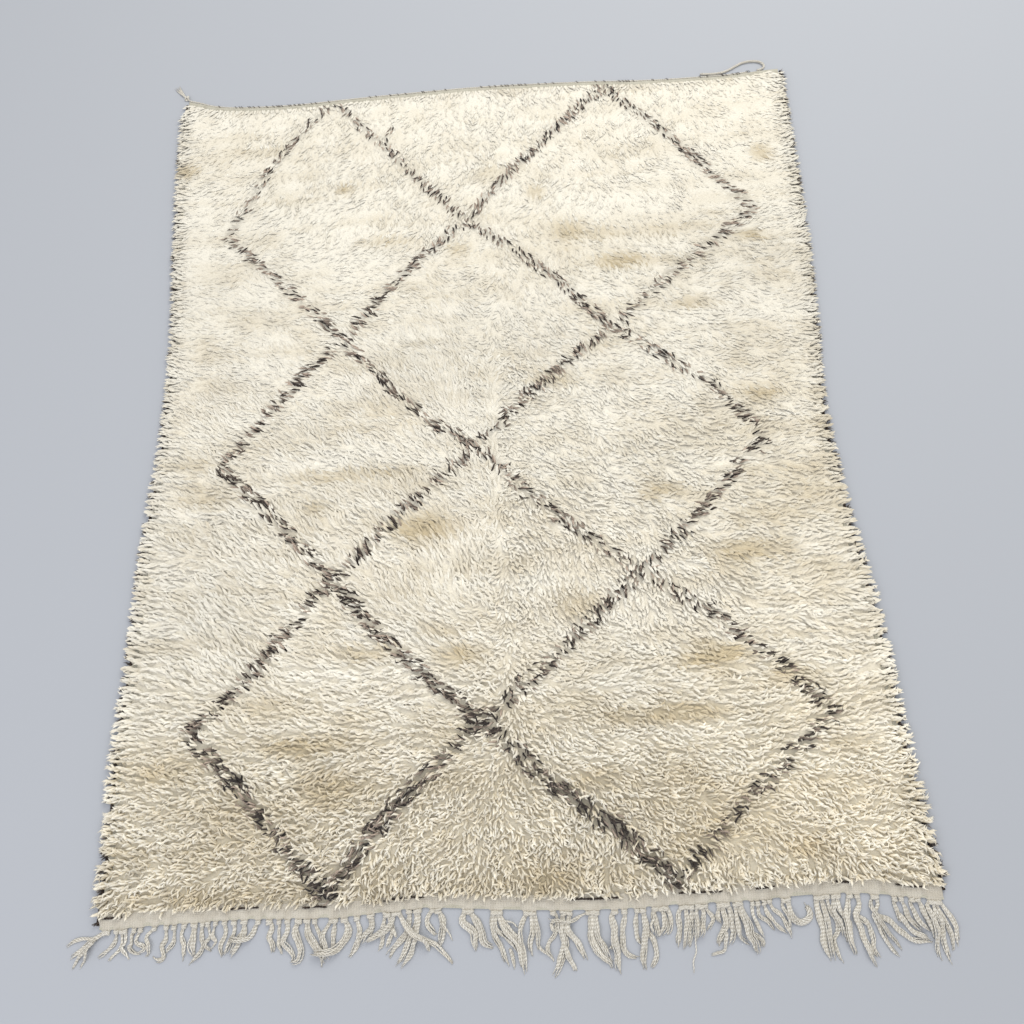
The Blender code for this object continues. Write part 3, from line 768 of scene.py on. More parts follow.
# %% Heading
CREASES = (  # x, y, half length in metres, strength: where two rows part and the dark of the ground shows
    (0.300, -0.665, 0.100, 0.6),
    (-0.280, -0.720, 0.120, 0.4),
    (0.620, -0.480, 0.070, 0.5),
    (0.180, 0.480, 0.140, 0.4),
    (-0.430, 0.640, 0.080, 0.4),
)
CREASE_WIDTH = 0.014
unruly = np.interp(y, (-1.0, -0.86, -0.72, -0.3, 0.2, 0.9), (1.3, 1.2, 0.65, 0.8, 0.95, 0.9))
unruly *= 1 - 0.5 * np.exp(-np.maximum(from_side, 0) / 0.05)
arrow = comb(x, y)
upright = 1 - np.clip(abs(arrow), 0, 1)
for crease_x, crease_y, half, strength in CREASES:
    along = np.clip(1.5 - 1.5 * abs(x - crease_x) / half, 0, 1)
    gap = (y - crease_y - 0.012 * drift(x, y, 0.05, 1.0, 9)) / CREASE_WIDTH
    arrow += 1j * strength * along * np.sign(gap) * np.exp(-(gap**2))
heading = np.angle(arrow)
heading += unruly * (0.55 * drift(x, y, 0.07, 0.05, 23) + 0.55 * drift(x, y, 0.028, 0.02, 24))
combed = heading.copy()
heading += draw.normal(0, 1, count) * (0.18 + 0.20 * matted) * unruly + draw.normal(0, 0.7, count) * upright
print("share of locks that lie towards the fringe:", round(float((np.sin(heading) < 0).mean()), 2))

# %% Lean and size
LEAN = 0.92  # radians from upright at half length
LOCK_LENGTH = 0.0230
LOCK_WIDTH = 0.0063
laid = np.interp(y, (-0.70, 0.20), (0.0, 1.0))  # how flat the pile lies: most at the plain end
calm = 1 - 0.65 * laid
lean = LEAN + 0.20 * laid + 0.10 * matted - 0.12 * upright * calm
lean += calm * (0.14 * drift(x, y, 0.05, 0.03, 25) + draw.normal(0, 0.12, count))
length = LOCK_LENGTH + 0.0045 * matted + 0.002 * drift(x, y, 0.17, 0.12, 26) + 0.0015 * drift(x, y, 0.05, 0.05, 27)
length *= 1 + draw.uniform(-0.16, 0.12, count)
width = LOCK_WIDTH + draw.normal(0, 0.0007, count)
wave = (0.0008 + 0.0022 * matted) * draw.normal(0, 1, count)
print("mean length of a lock in mm:", round(float(length.mean()) / MM, 1))

# %% [markdown]
# ## Tint and clumps
# No two locks have the same colour: the fleece changes in wide patches, in lots along the rows, and a little from lock
# to lock. Some of it is painted light: the pile is made paler towards the fringed end, the wide patches are partly
# painted light and shade, and faint painted shade marks the rows. Neighbours then gather into clumps, which share some
# of their heading, lean and tint. For each lock the nearest middle of a clump is found, as in a Voronoi texture, and
# the lock is pulled towards its clump's axis.

# %% Tint
ROW_SPACING = 0.0105  # the rows show as faint lines of painted shade this far apart
# Painted light: the lightness rises towards the fringed end and in its curled pile, and the wide patches add painted
# light and shade, to even out how the lamps light the rug.
light = 0.905 + 0.125 * lower + 0.045 * matted + tone_and_light_patches(x, y)
light = light + 0.03 * drift(x, y, 0.2, 0.15, 30) + 0.025 * drift(x, y, 0.03, 0.022, 37)
light += (0.015 + 0.075 * matted) * draw.normal(0, 1, count) - 0.10 * yellowing(x, y)
# Painted shade: faint darker lines between the rows.
light += 0.02 * (1 - lower) * np.sin(2 * math.pi * y / ROW_SPACING + drift(x, y, 0.1, 0.1, 36))
foot = 0.95 - 1.05 * matted + 0.12 * drift(x, y, 0.04, 0.03, 38)  # how pale the foot of a lock is: the lower, the more painted root shade, most in the curled pile
warm = yellowing(x, y) + draw.normal(0, 0.07, count)
print("mean lightness:", round(float(light.mean()), 2), "and warmth:", round(float(warm.mean()), 2))

# %% Gather the locks into clumps
CLUMPS = (  # distance between clumps in metres, how long they are for their width, pull to their axis, seed
    (0.0160, 2.0, 1.2, 71),
    (0.012, 1.7, 0.6, 72),
)
long_clumps = lower > draw.uniform(0.2, 0.55, count)
for (pitch, stretch, pull, seed), where in zip(CLUMPS, (long_clumps, ~long_clumps)):
    off_axis, shared = clumps(x[where], y[where], combed[where], pitch, stretch, seed)
    half = pitch / math.sqrt(stretch) / 2
    edge = np.clip(off_axis / half, -1.3, 1.3) ** 2  # 0 on the axis of a clump and 1 at its edge
    heading[where] -= np.clip(pull * off_axis / 0.018, -0.8, 0.8)
    heading[where] += 0.25 * shared[:, 0]
    x[where] += 0.22 * off_axis * np.sin(combed[where])
    y[where] -= 0.22 * off_axis * np.cos(combed[where])
    lean[where] += calm[where] * (0.10 * shared[:, 1] + 0.13 * edge)
    light[where] += 0.03 * shared[:, 2]
    # Painted shade: at the edges of the clumps of the curled pile the feet get darker, where the gaps between clumps
    # are.
    foot[where] -= 0.25 * edge * matted[where]
    warm[where] += 0.08 * shared[:, 3]
    wave[where] += (0.0006 + 0.0030 * matted[where]) * shared[:, 4]
    length[where] *= 1 + 0.06 * shared[:, 4]
print("share of locks in long clumps:", round(float(long_clumps.mean()), 2))

# %% Locks at the rim, and how high all the roots stand
SUNK = 0.001  # how deep a root sits in the cloth
LAID_RISE = 0.0065  # how much higher a laid lock starts, on the feet of the others
laid *= np.clip(from_side / 0.02, 0, 1)
lean += (0.2 * np.exp(-np.maximum(from_side, 0) / 0.018) + 0.25 * (from_side < 0.002)) * (1 - laid)
length *= 1 - 0.30 * np.exp(-np.maximum(from_end, 0) / 0.010)
warm, foot = np.clip(warm, 0, 1), np.clip(foot, 0, 1)
soft = 0.95 - 0.83 * matted  # light passes through the finer pile of the plain end, so its shading is softer
roots = np.stack([x, y, CLOTH - SUNK + LAID_RISE * laid], axis=-1)
print("highest root in mm:", round(float(roots[:, 2].max()) / MM, 1))

# %% [markdown]
# ## Cream locks and dark ones
# The dark knots of the lattice are another wool, so they are planted apart from the cream ones. A lock is seen at its
# middle and not at its root, so its distance to a line is taken from there, and at a line's edge the share of dark
# locks falls off softly. Most dark tips have faded to grey-brown, and the others are nearly black. The cream pile is
# planted in five parts, so that none of them is a heavy mesh.

# %% Which locks are dark
CLOT = (-0.546, -0.760, 0.012)  # x, y, half width of a clot of nearly black wool on the lowest left line
shown = 0.55 * length * np.sin(np.clip(lean, 0, 1.5))  # how far from its root the middle of a lock is seen
seen_x, seen_y = x + shown * np.cos(heading), y + shown * np.sin(heading)
beyond, cream_share = nearest_line(seen_x, seen_y)
beyond += 0.30 * drift(x, y, 0.014, 0.014, 31)
dark = draw.uniform(0, 1, count) < (1 - cream_share) * np.clip(1.9 - 1.35 * beyond, 0, 1)
clot = np.hypot(seen_x - CLOT[0], seen_y - CLOT[1]) < CLOT[2]
dark |= clot
near_black = (draw.uniform(0, 1, count) < 0.38 + 0.22 * lower) | clot
faded = np.where(near_black, draw.uniform(0.0, 0.3, count), draw.uniform(0.45, 1.0, count)) - 0.2 * clot
print("dark knots:", int(dark.sum()))

# %% Plant the cream pile and the lattice
PARTS = (  # piece, its lock, zone, share of the rug's length from, to
    ("cream_pile_1", long_lock, 0, -1.0, 0.17),
    ("cream_pile_2", long_lock, 0, 0.17, 0.335),
    ("cream_pile_3", long_lock, 0, 0.335, 2.0),
    ("cream_pile_4", short_lock, 1, -1.0, 0.75),
    ("cream_pile_5", short_lock, 1, 0.75, 2.0),
)
DARK_RISE = 0.0015  # how much higher the dark locks start, so that the cream ones don't hide them
pile = []
along_rug = (y + 1.03) / 2.03
for name, one, number, low, high in PARTS:
    chosen = ~dark & (zone == number) & (along_rug >= low) & (along_rug < high)
    tint = (light[chosen], warm[chosen], foot[chosen])
    lie = (heading[chosen], lean[chosen], length[chosen], width[chosen], wave[chosen])
    pile.append(plant(name, one, roots[chosen], *lie, tint, cream_wool, laid[chosen], soft[chosen]))
for name, one, number in (("lattice_pile_1", long_lock, 0), ("lattice_pile_2", short_lock, 1)):
    chosen = dark & (zone == number)
    # The less faded a dark lock, the more painted root shade its foot gets.
    tint = (0.4 + 1.1 * faded[chosen], 1 - faded[chosen], 0.5 * faded[chosen])
    lie = (heading[chosen], lean[chosen] * 0.98, length[chosen] * 1.02, width[chosen] * 0.72, wave[chosen])
    lifted = roots[chosen] + DARK_RISE * UP
    pile.append(plant(name, one, lifted, *lie, tint, dark_wool, laid[chosen], soft[chosen] / 2))

# %% [markdown]
# ## Bed of the pile
# Between the locks one doesn't look down to the weave but into the dense feet of the wool. A low bumpy bed stands for
# them: a grid with a soft height, whose rim is extruded down to the cloth and closed with one face.

# %% Make the bed
BED_HEIGHT = 0.0080
BED_RIM = 0.030  # width of the rim over which the bed rises


def closed_grid(name, columns, rows):
    """A grid whose rim is extruded down by one metre and closed with one face."""
    made = unit_grid(name, columns, rows)
    bpy.ops.object.mode_set(mode="EDIT")
    bpy.ops.mesh.select_all(action="SELECT")
    bpy.ops.mesh.region_to_loop()
    bpy.ops.mesh.extrude_edges_move(TRANSFORM_OT_translate={"value": (0, 0, -1)})
    bpy.ops.mesh.edge_face_add()
    bpy.ops.object.mode_set(mode="OBJECT")
    return made


def lay_out(obj, x, y, z, material):
    """Move the points of an object to their places, and give it smooth faces and its material."""
    write(obj.data.vertices, "co", np.stack([x, y, z], axis=-1))
    obj.data.update()
    obj.data.materials.append(material)
    smooth(obj.data)


bed = closed_grid("pile_bed", 92, 116)
flat = places_of(bed)
bed_x, bed_y = on_cloth(flat[:, 0] * 0.985 + 0.5, flat[:, 1] + 0.5, BAND + 0.004, PLAIN_END + 0.002)
full = np.clip(np.minimum(*to_rim(bed_x, bed_y)) / BED_RIM, 0, 1) ** 0.6
height = BED_HEIGHT - 0.0044 * lowered(bed_y) + 0.0012 * drift(bed_x, bed_y, 0.018, 0.018, 81)
height = np.where(flat[:, 2] < -0.5, CLOTH, CLOTH + 0.0006 + height * full)
lay_out(bed, bed_x, bed_y, height, fleece_bed)
print("bed of the pile:", len(bed.data.polygons), "faces")

# %% Tint the bed
bed_matted, bed_warm = curled(bed_y), yellowing(bed_x, bed_y)
under_line, _ = nearest_line(bed_x, bed_y)
# Painted shade and light: the bed is made darker in the curled pile, where its gaps are deep, and paler towards the
# fringed end and in the wide patches, to even out the lamps; more of the shaded root colour shows in the curled pile
# too. The yellowing and the dark feet under the lattice lines are the wool's own colour.
shade = 0.93 + 0.13 * lowered(bed_y) + tone_and_light_patches(bed_x, bed_y) - 0.30 * bed_matted - 0.10 * bed_warm
shade -= 0.30 * np.clip(1.6 - 1.2 * under_line, 0, 1)
tint_points(bed.data, np.stack([shade, bed_warm, 0.75 - 0.35 * bed_matted, np.ones(len(flat))], axis=-1))
corner_of = np.array([loop.vertex_index for loop in bed.data.loops])
lay_map(bed.data, "strand", np.column_stack([bed_x, bed_y])[corner_of])
pile.append(bed)
for piece in pile:
    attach(piece, "root")
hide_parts("woven_field")
print("pieces of the pile:", [piece.name for piece in pile])

# %% [markdown]
# ## Strands and ropes
# Everything at the edges of the rug is yarn: single strands, plied cords and hanks of warps. A strand is a tube swept
# along its own line, and a rope is a few strands wound round one line. Curve objects would do for one rope, but the
# fringe has hundreds of strands, so one function sweeps them all into a single mesh and gives each its own UV cell.
# A second UV map called strand holds real metres along each strand, so the twist of the yarn has its true pitch.

# %% Lines in space


def walked_along(line):
    """How far each place of a line is from its start, along the line."""
    return np.concatenate([[0], np.cumsum(np.linalg.norm(np.diff(line, axis=0), axis=1))])


def line_length(line):
    return float(np.linalg.norm(np.diff(line, axis=0), axis=1).sum())


def smooth_line(points, samples):
    """Places evenly spread on a Catmull-Rom line through a few points."""
    points = np.array(points, float)
    ahead = np.concatenate([[0], np.cumsum(np.linalg.norm(np.diff(points, axis=0), axis=1) ** 0.5)])
    table = np.column_stack([ahead, points])
    fine = np.linspace(0, ahead[-1], 20 * len(points))
    run = np.stack([follow(table, fine, k + 1) for k in range(points.shape[1])], axis=-1)
    walked = walked_along(run)
    even = np.linspace(0, walked[-1], samples)
    return np.stack([np.interp(even, walked, run[:, k]) for k in range(points.shape[1])], axis=-1)


def arrows_across(line):
    """Unit arrows to the side of a line and up from it, at each of its places."""
    ahead = np.gradient(line, axis=0)
    ahead /= np.linalg.norm(ahead, axis=1)[:, None]
    side = np.cross(ahead, (0, 0, 1.0))
    side /= np.maximum(np.linalg.norm(side, axis=1), 1e-6)[:, None]
    return side, np.cross(side, ahead)


print("a quarter circle is", round(line_length(turned(np.linspace(0, math.pi / 2, 50), 0)), 3), "radii long")

# %% Sweep strands


def tube(line, width, sides):
    """Points of a closed tube round a line: one ring for each place, and then the middles of its two ends."""
    side, up = arrows_across(line)
    angle = np.arange(sides) / sides * 2 * math.pi
    size = np.broadcast_to(np.asarray(width, float), len(line))[:, None, None] / 2
    ring = np.cos(angle)[None, :, None] * side[:, None] + np.sin(angle)[None, :, None] * up[:, None]
    return np.concatenate([(line[:, None] + size * ring).reshape(-1, 3), line[[0, -1]]])


def strands(name, lines, thick, tints, material, sides=6):
    """One mesh of closed tubes; each line has its own thickness along it and its own tint (lightness, warmth)."""
    points, faces, colours, cells, inside, metres = [], [], [], [], [], []
    start = 0
    for number, (line, width, tint) in enumerate(zip(lines, thick, tints)):
        line = np.asarray(line, float)
        rings = len(line)
        points.append(tube(line, width, sides))
        walked = walked_along(line)
        share = walked / walked[-1]
        colour = np.ones((rings * sides + 2, 4))
        colour[:, 0], colour[:, 1] = tint
        colour[:-2, 2] = np.repeat(share, sides)
        colour[-2:, 2] = 0, 1
        colours.append(colour)
        for k in range(rings - 1):
            a, b = start + k * sides, start + (k + 1) * sides
            for s in range(sides):
                e = (s + 1) % sides
                faces.append((a + s, a + e, b + e, b + s))
                inside += [(s, share[k]), (s + 1, share[k]), (s + 1, share[k + 1]), (s, share[k + 1])]
                metres += [walked[k], walked[k], walked[k + 1], walked[k + 1]]
        low, high = start + rings * sides, start + rings * sides + 1
        for s in range(sides):
            e = (s + 1) % sides
            faces.append((start + e, start + s, low))
            faces.append((low - sides + s, low - sides + e, high))
            inside += [(s + 1, 0.0), (s, 0.0), (s + 0.5, 0.0), (s, 1.0), (s + 1, 1.0), (s + 0.5, 1.0)]
            metres += [0.0] * 3 + [walked[-1]] * 3
        cells += [number] * (4 * sides * (rings - 1) + 6 * sides)
        start += len(points[-1])
    mesh = mesh_of(name, np.concatenate(points).tolist(), faces)
    tint_points(mesh, np.concatenate(colours))
    inside = np.array(inside) / (sides, 1.0)
    bake_cells(mesh, np.array(cells), inside, len(lines))
    lay_map(mesh, "strand", np.column_stack([inside[:, 0], metres]))
    print("strands swept:", len(lines))
    return object_of(name, mesh, material)


print("points of a tube with two rings of six:", len(tube(np.eye(3)[:2], 0.01, 6)))

# %% Wind ropes


def wound(line, width, plies, pitch):
    """The lines of a few plies wound round one line, touching each other, one turn to each pitch."""
    side, up = arrows_across(line)
    turns = walked_along(line) / pitch
    ply = width / (1 + 1 / math.sin(math.pi / plies))
    reach = (width - ply) / 2
    angles = [(turns + k / plies) * 2 * math.pi for k in range(plies)]
    return [line + reach * (np.cos(a)[:, None] * side + np.sin(a)[:, None] * up) for a in angles], ply


straight = np.column_stack([np.linspace(0, 0.1, 40), np.zeros(40), np.zeros(40)])
print("a ply of a 6 mm cord of three is", round(wound(straight, 6 * MM, 3, 0.024)[1] / MM, 2), "mm thick")

# %% [markdown]
# ## Yarn materials
# Plied yarn shows slanting ridges, shaded between the plies, and it is greyed in patches. The plies of the cords are
# modelled, but the ridges inside a single yarn are far too fine for that. So a sine wave on the strand map draws
# them, and works as colour and as bump, with the yarn's real pitch.

# %% Yarn materials


def yarn_material(name, pale, warm, shaded, pitch, depth, sheen):
    """Plied wool yarn: fine diagonal ridges one pitch apart, shaded between the plies, and uneven along its length."""
    made, tree, shader = start_material(
        name, Roughness=0.9, Sheen_Weight=sheen, Sheen_Roughness=0.55, Specular_IOR_Level=0.25
    )
    place = add_node(tree, "UVMap", uv_map="strand")
    place = add_node(tree, "SeparateXYZ", {"Vector": place.outputs["UV"]})
    # One full turn of the yarn moves the ridges by one ply round it, so the two phases are simply added.
    along = add_node(tree, "Math", {0: place.outputs["Y"], 1: 2 * math.pi / pitch}, operation="MULTIPLY")
    turns = {0: place.outputs["X"], 1: 4 * math.pi, 2: along.outputs["Value"]}
    turns = add_node(tree, "Math", turns, operation="MULTIPLY_ADD")
    ridge = add_node(tree, "Math", {0: turns.outputs["Value"]}, operation="SINE")
    ridge = add_node(tree, "Math", {0: ridge.outputs["Value"], 1: 0.5, 2: 0.5}, operation="MULTIPLY_ADD")
    height = ridge.outputs["Value"]
    strand = add_node(tree, "Attribute", attribute_name="lock")
    own, yellowed, _ = add_node(tree, "SeparateColor", {"Color": strand.outputs["Color"]}).outputs
    uneven = add_node(tree, "TexCoord")
    patches = add_node(tree, "TexNoise", {"Vector": uneven.outputs["Object"], "Scale": 45.0, "Detail": 3.0})
    tone = add_node(tree, "Mix", {"Factor": yellowed, "A": linear(pale), "B": linear(warm)}, data_type="RGBA")
    grey = add_node(tree, "MapRange", {"Value": patches.outputs["Fac"], "From Min": 0.35, "From Max": 0.75})
    worn = {"Factor": grey.outputs["Result"], "A": tone.outputs["Result"], "B": linear(warm)}
    worn = add_node(tree, "Mix", worn, data_type="RGBA")
    plied = {"Factor": height, "A": linear(shaded), "B": worn.outputs["Result"]}
    plied = add_node(tree, "Mix", plied, data_type="RGBA")
    light = add_node(tree, "HueSaturation", {"Color": plied.outputs["Result"], "Value": own})
    bump = add_node(tree, "Bump", {"Height": height, "Strength": 0.9, "Distance": depth})
    dress_shader(tree, shader, light.outputs["Color"], bump.outputs["Normal"])
    return made


# Warp yarn: two-ply ivory wool, spun harder than the pile, greyed in patches.
warp_yarn = yarn_material("two-ply ivory warp wool", "#F3F0E7", "#DDD7C9", "#B9B2A3", 0.0065, 0.0004, 0.3)
# Goat hair: coarse, straight and nearly black, with brown hairs that catch the light.
goat_hair = yarn_material("spun black-brown goat hair", "#3B322D", "#5A4A3E", "#171312", 0.006, 0.0006, 0.1)
print("yarns:", warp_yarn.name, "and", goat_hair.name)

# %% [markdown]
# ## Twined row above the band
# Where the pile ends, the weaver twined a thicker weft through the warps to stop the knots from sliding. Dark goat
# hair ran through it, so it shows as broken dashes under the last row of pile. Each dash is a short two-ply rope.

# %% Twined row
TWINED = (  # x from, x to in mm
    (-790, -752),
    (-566, -491),
    (-408, -361),
    (-254, -176),
    (97, 198),
    (304, 387),
    (449, 486),
    (599, 628),
    (709, 759),
)
TWINED_PLY = 0.0025
lines, widths, tints = [], [], []
for first, last in TWINED:
    spread = np.linspace(first, last, max(6, int((last - first) / 2.2))) * MM
    top = fringe_y(spread) + BAND - 0.0030 + 0.0011 * drift(spread, spread * 0, 0.02, 1, 51)
    line = np.column_stack([spread, top, np.full(len(spread), CLOTH + 0.0032)])
    taper = np.interp(np.linspace(0, 1, len(spread)), (0, 0.08, 0.92, 1), (0.4, 1, 1, 0.4))
    for ply_line in wound(line, 0.0044, 2, 0.012)[0]:
        lines.append(ply_line)
        widths.append(TWINED_PLY * taper)
        tints.append((1.0, 0.3))
twined = strands("twined_row", lines, widths, tints, goat_hair, sides=5)
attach(twined, "root")

# %% [markdown]
# ## Fringe
# The warps are knotted in hanks at the band and hang free. Laid on the floor they wave, cross and split. Each hank
# follows one smooth line, its yarns lie side by side round it, gathered at the knot and again at the tip, and a hank
# that crosses others is lifted on to them. The lines are listed in millimetres: x, and how far beyond y = -1.

# %% Lines of the hanks
HANKS = (  # root x (None for a branch), width in mm, then x and distance beyond y = -1 m of a few places along it
    (-785, 6, -803, 37, -823, 38, -842, 41, -856, 50),
    (-779, 8, -802, 39, -819, 52, -839, 65, -852, 77),
    (None, 6, -803, 42, -815, 55, -830, 72, -841, 92),
    (None, 5, -800, 43, -811, 56, -817, 75, -827, 90),
    (-762, 7, -764, 47, -779, 62, -794, 72),
    (-752, 6, -750, 46, -752, 58, -766, 72, -774, 83),
    (-745, 5, -743, 48, -748, 55, -740, 68, -731, 78),
    (-728, 7, -733, 37, -731, 50, -735, 56, -726, 65, -711, 66),
    (-716, 7, -723, 46, -707, 55, -707, 62, -720, 66),
    (-690, 7, -703, 38, -698, 53, -697, 70, -707, 77),
    (-667, 8, -667, 45, -673, 56, -667, 74, -677, 81, -690, 74),
    (-652, 7, -651, 49, -661, 63, -663, 70),
    (-633, 8, -637, 40, -630, 57, -631, 69, -627, 84),
    (-614, 13, -614, 45, -617, 59, -610, 78),
    (-598, 8, -598, 46, -594, 58, -603, 77, -619, 91),
    (-588, 6, -583, 42, -590, 54, -584, 63, -577, 68),
    (-573, 6, -577, 42, -570, 52, -580, 64),
    (-556, 8, -553, 39, -561, 58, -557, 79),
    (-538, 8, -537, 38, -545, 58, -553, 79),
    (-519, 13, -519, 38, -529, 55, -545, 81),
    (-492, 9, -500, 37, -512, 50, -537, 49, -548, 43),
    (-471, 10, -465, 34, -470, 48, -463, 61, -460, 78),
    (-452, 6, -451, 41, -452, 56, -445, 80),
    (-436, 10, -436, 41, -442, 57, -428, 71, -421, 83, -425, 95),
    (-415, 12, -421, 37, -417, 52, -407, 72, -412, 92, -428, 97),
    (-384, 7, -378, 40, -371, 55, -368, 71, -368, 106),
    (-399, 13, -396, 42, -386, 61, -371, 78, -358, 95),
    (-353, 8, -364, 41, -368, 53, -360, 75, -370, 95),
    (-345, 8, -347, 40, -348, 58, -351, 78),
    (-328, 13, -319, 41, -328, 60, -344, 75, -370, 78, -397, 75),
    (-304, 9, -299, 40, -301, 60, -309, 78, -320, 90),
    (None, 5, -299, 44, -301, 56, -298, 72),
    (-278, 13, -275, 37, -286, 53, -294, 66),
    (-250, 8, -254, 36, -256, 66, -265, 82),
    (-245, 8, -237, 42, -241, 60, -249, 76),
    (None, 5, -237, 42, -232, 50, -230, 59),
    (-233, 11, -239, 34, -256, 48, -277, 57, -293, 62),
    (-205, 10, -207, 41, -214, 56, -234, 76, -247, 93),
    (-192, 9, -193, 42, -205, 62, -214, 85, -232, 109),
    (-186, 8, -190, 48, -197, 72, -203, 89, -224, 112),
    (-226, 10, -214, 33, -199, 51, -180, 62, -155, 74, -138, 92, -122, 110),
    (None, 6, -180, 62, -172, 72, -168, 86),
    (-161, 9, -171, 30, -167, 43, -151, 57),
    (-150, 12, -142, 30, -142, 46, -146, 66, -150, 77),
    (None, 4, -144, 36, -137, 45, -130, 54, -124, 68),
    (-98, 13, -106, 32, -96, 44, -83, 56, -84, 72, -80, 88),
    (-90, 13, -80, 34, -75, 40, -69, 55, -65, 71, -47, 83),
    (-46, 9, -49, 37, -46, 60, -34, 80, -28, 100, -18, 117),
    (-42, 7, -41, 49, -19, 69, 1, 94),
    (None, 6, -18, 85, -12, 100, -9, 120),
    (-36, 14, -30, 40, -18, 56, -4, 71, 6, 90, 6, 112, 11, 133),
    (None, 2.4, -22, 36, -10, 42, 0, 50),
    (16, 9, 10, 37, 3, 58, 8, 85),
    (24, 10, 27, 34, 26, 59, 20, 80, 21, 101),
    (30, 9, 34, 40, 36, 61, 37, 82, 38, 91),
    (None, 5, 38, 82, 44, 90, 62, 105, 64, 112),
    (66, 8, 73, 32, 70, 61, 57, 75, 52, 90, 63, 105),
    (None, 6, 72, 40, 62, 44, 64, 54, 71, 58),
    (86, 13, 82, 47, 83, 65, 86, 84, 79, 101, 73, 119, 62, 136),
    (None, 8, 86, 84, 90, 100, 97, 113, 102, 130),
    (97, 10, 96, 38, 91, 55, 101, 68, 114, 87, 124, 113),
    (131, 5, 118, 34, 98, 43, 81, 41, 56, 37),
    (140, 12, 137, 40, 136, 61, 137, 80, 150, 100, 168, 115, 173, 127),
    (148, 10, 147, 37, 146, 65, 157, 87, 167, 113),
    (200, 9, 201, 36, 195, 59, 193, 81, 195, 94, 203, 106, 222, 109),
    (None, 5, 184, 72, 180, 82, 167, 94),
    (182, 12, 176, 36, 179, 58, 177, 77, 182, 97, 180, 116, 183, 137),
    (224, 8, 222, 37, 219, 58, 222, 77, 231, 91),
    (None, 9, 238, 48, 241, 66, 252, 83, 253, 106, 246, 123, 237, 134),
    (235, 11, 237, 40, 237, 65, 232, 87, 229, 110, 232, 133),
    (258, 11, 254, 36, 258, 56, 259, 77),
    (278, 9, 283, 34, 286, 53, 278, 77),
    (270, 11, 273, 36, 275, 57, 263, 78),
    (None, 4, 254, 42, 248, 56, 251, 69),
    (308, 9, 302, 36, 300, 50, 300, 68, 296, 82, 296, 97),
    (326, 9, 325, 40, 322, 65, 319, 84, 317, 101),
    (317, 10, 316, 36, 314, 63, 310, 83, 309, 102),
    (None, 2.4, 326, 70, 328, 90, 325, 109, 319, 125, 322, 146),
    (338, 9, 335, 36, 332, 61, 331, 85),
    (352, 8, 356, 34, 364, 50, 350, 72),
    (345, 9, 347, 37, 344, 60, 337, 81),
    (378, 8, 376, 34, 373, 47, 378, 59),
    (392, 11, 397, 33, 399, 58, 399, 77, 389, 96),
    (385, 11, 385, 38, 387, 61, 374, 80, 367, 99),
    (None, 6, 386, 72, 383, 86, 380, 101, 369, 106, 353, 109),
    (408, 8, 407, 36, 409, 58, 409, 78, 420, 90, 427, 96),
    (None, 8, 430, 66, 433, 76, 452, 89, 446, 104),
    (415, 15, 419, 40, 427, 60, 429, 78, 438, 91, 442, 113),
    (440, 6, 439, 34, 440, 50, 448, 68, 456, 84),
    (450, 7, 451, 45, 466, 59, 475, 73),
    (462, 7, 465, 41, 482, 66, 499, 81),
    (472, 7, 477, 34, 492, 49, 500, 67, 506, 89),
    (498, 6, 496, 32, 502, 46, 505, 72),
    (506, 11, 507, 34, 510, 50, 524, 62, 542, 53, 545, 40, 534, 27),
    (561, 11, 559, 34, 561, 52, 565, 78, 562, 98, 570, 117, 572, 128),
    (580, 8, 582, 40, 592, 60, 592, 78, 581, 93, 585, 114, 594, 133),
    (570, 10, 571, 35, 574, 64, 572, 91, 576, 128),
    (592, 8, 589, 46, 597, 62, 600, 79, 603, 98),
    (600, 9, 598, 35, 604, 50, 614, 67, 611, 98),
    (622, 11, 617, 33, 610, 52, 610, 75, 610, 98, 615, 109, 618, 131),
    (None, 9, 631, 48, 633, 55, 648, 68, 653, 91, 652, 110, 663, 131),
    (636, 10, 638, 36, 627, 52, 634, 76, 639, 101, 645, 118, 655, 141),
    (None, 9, 664, 52, 687, 63, 701, 78, 720, 95, 736, 100, 762, 100),
    (671, 8, 672, 36, 661, 52, 665, 63, 674, 90, 687, 114, 701, 124),
    (665, 7, 658, 38, 666, 54, 675, 73, 689, 93, 706, 118),
    (704, 8, 703, 33, 705, 54, 708, 71),
    (None, 8, 708, 52, 711, 60, 725, 80, 743, 92, 760, 95),
    (716, 8, 720, 40, 727, 65, 745, 83),
    (736, 8, 733, 34, 736, 51, 746, 73, 762, 85),
    (746, 9, 749, 35, 757, 60, 764, 78, 766, 100),
    (781, 8, 783, 53, 795, 81, 797, 112, 794, 120),
    (785, 9, 790, 42, 802, 63, 807, 83, 808, 101, 806, 113),
    (776, 9, 774, 47, 782, 70, 781, 97, 783, 120, 790, 143),
    (770, 9, 763, 40, 767, 62, 771, 82, 766, 106, 767, 127, 769, 137),
)
print("hanks and branches:", len(HANKS))

# %% How a hank spreads, and what lifts it
SQUARE = 0.002  # size of a square of the height map that lifts one hank over another
WARP = 0.0028  # one warp yarn
HIGHEST = 0.011  # the furthest that a hank is lifted
PLACES = 18  # places along a hank
heights = np.zeros((900, 100))  # from x = -0.9 and y = -1.17


def squares(line):
    """Squares of the height map under a line."""
    at = np.round((line[:, :2] + (0.9, 1.17)) / SQUARE).astype(int)
    return np.clip(at[:, 0], 3, 896), np.clip(at[:, 1], 3, 96)


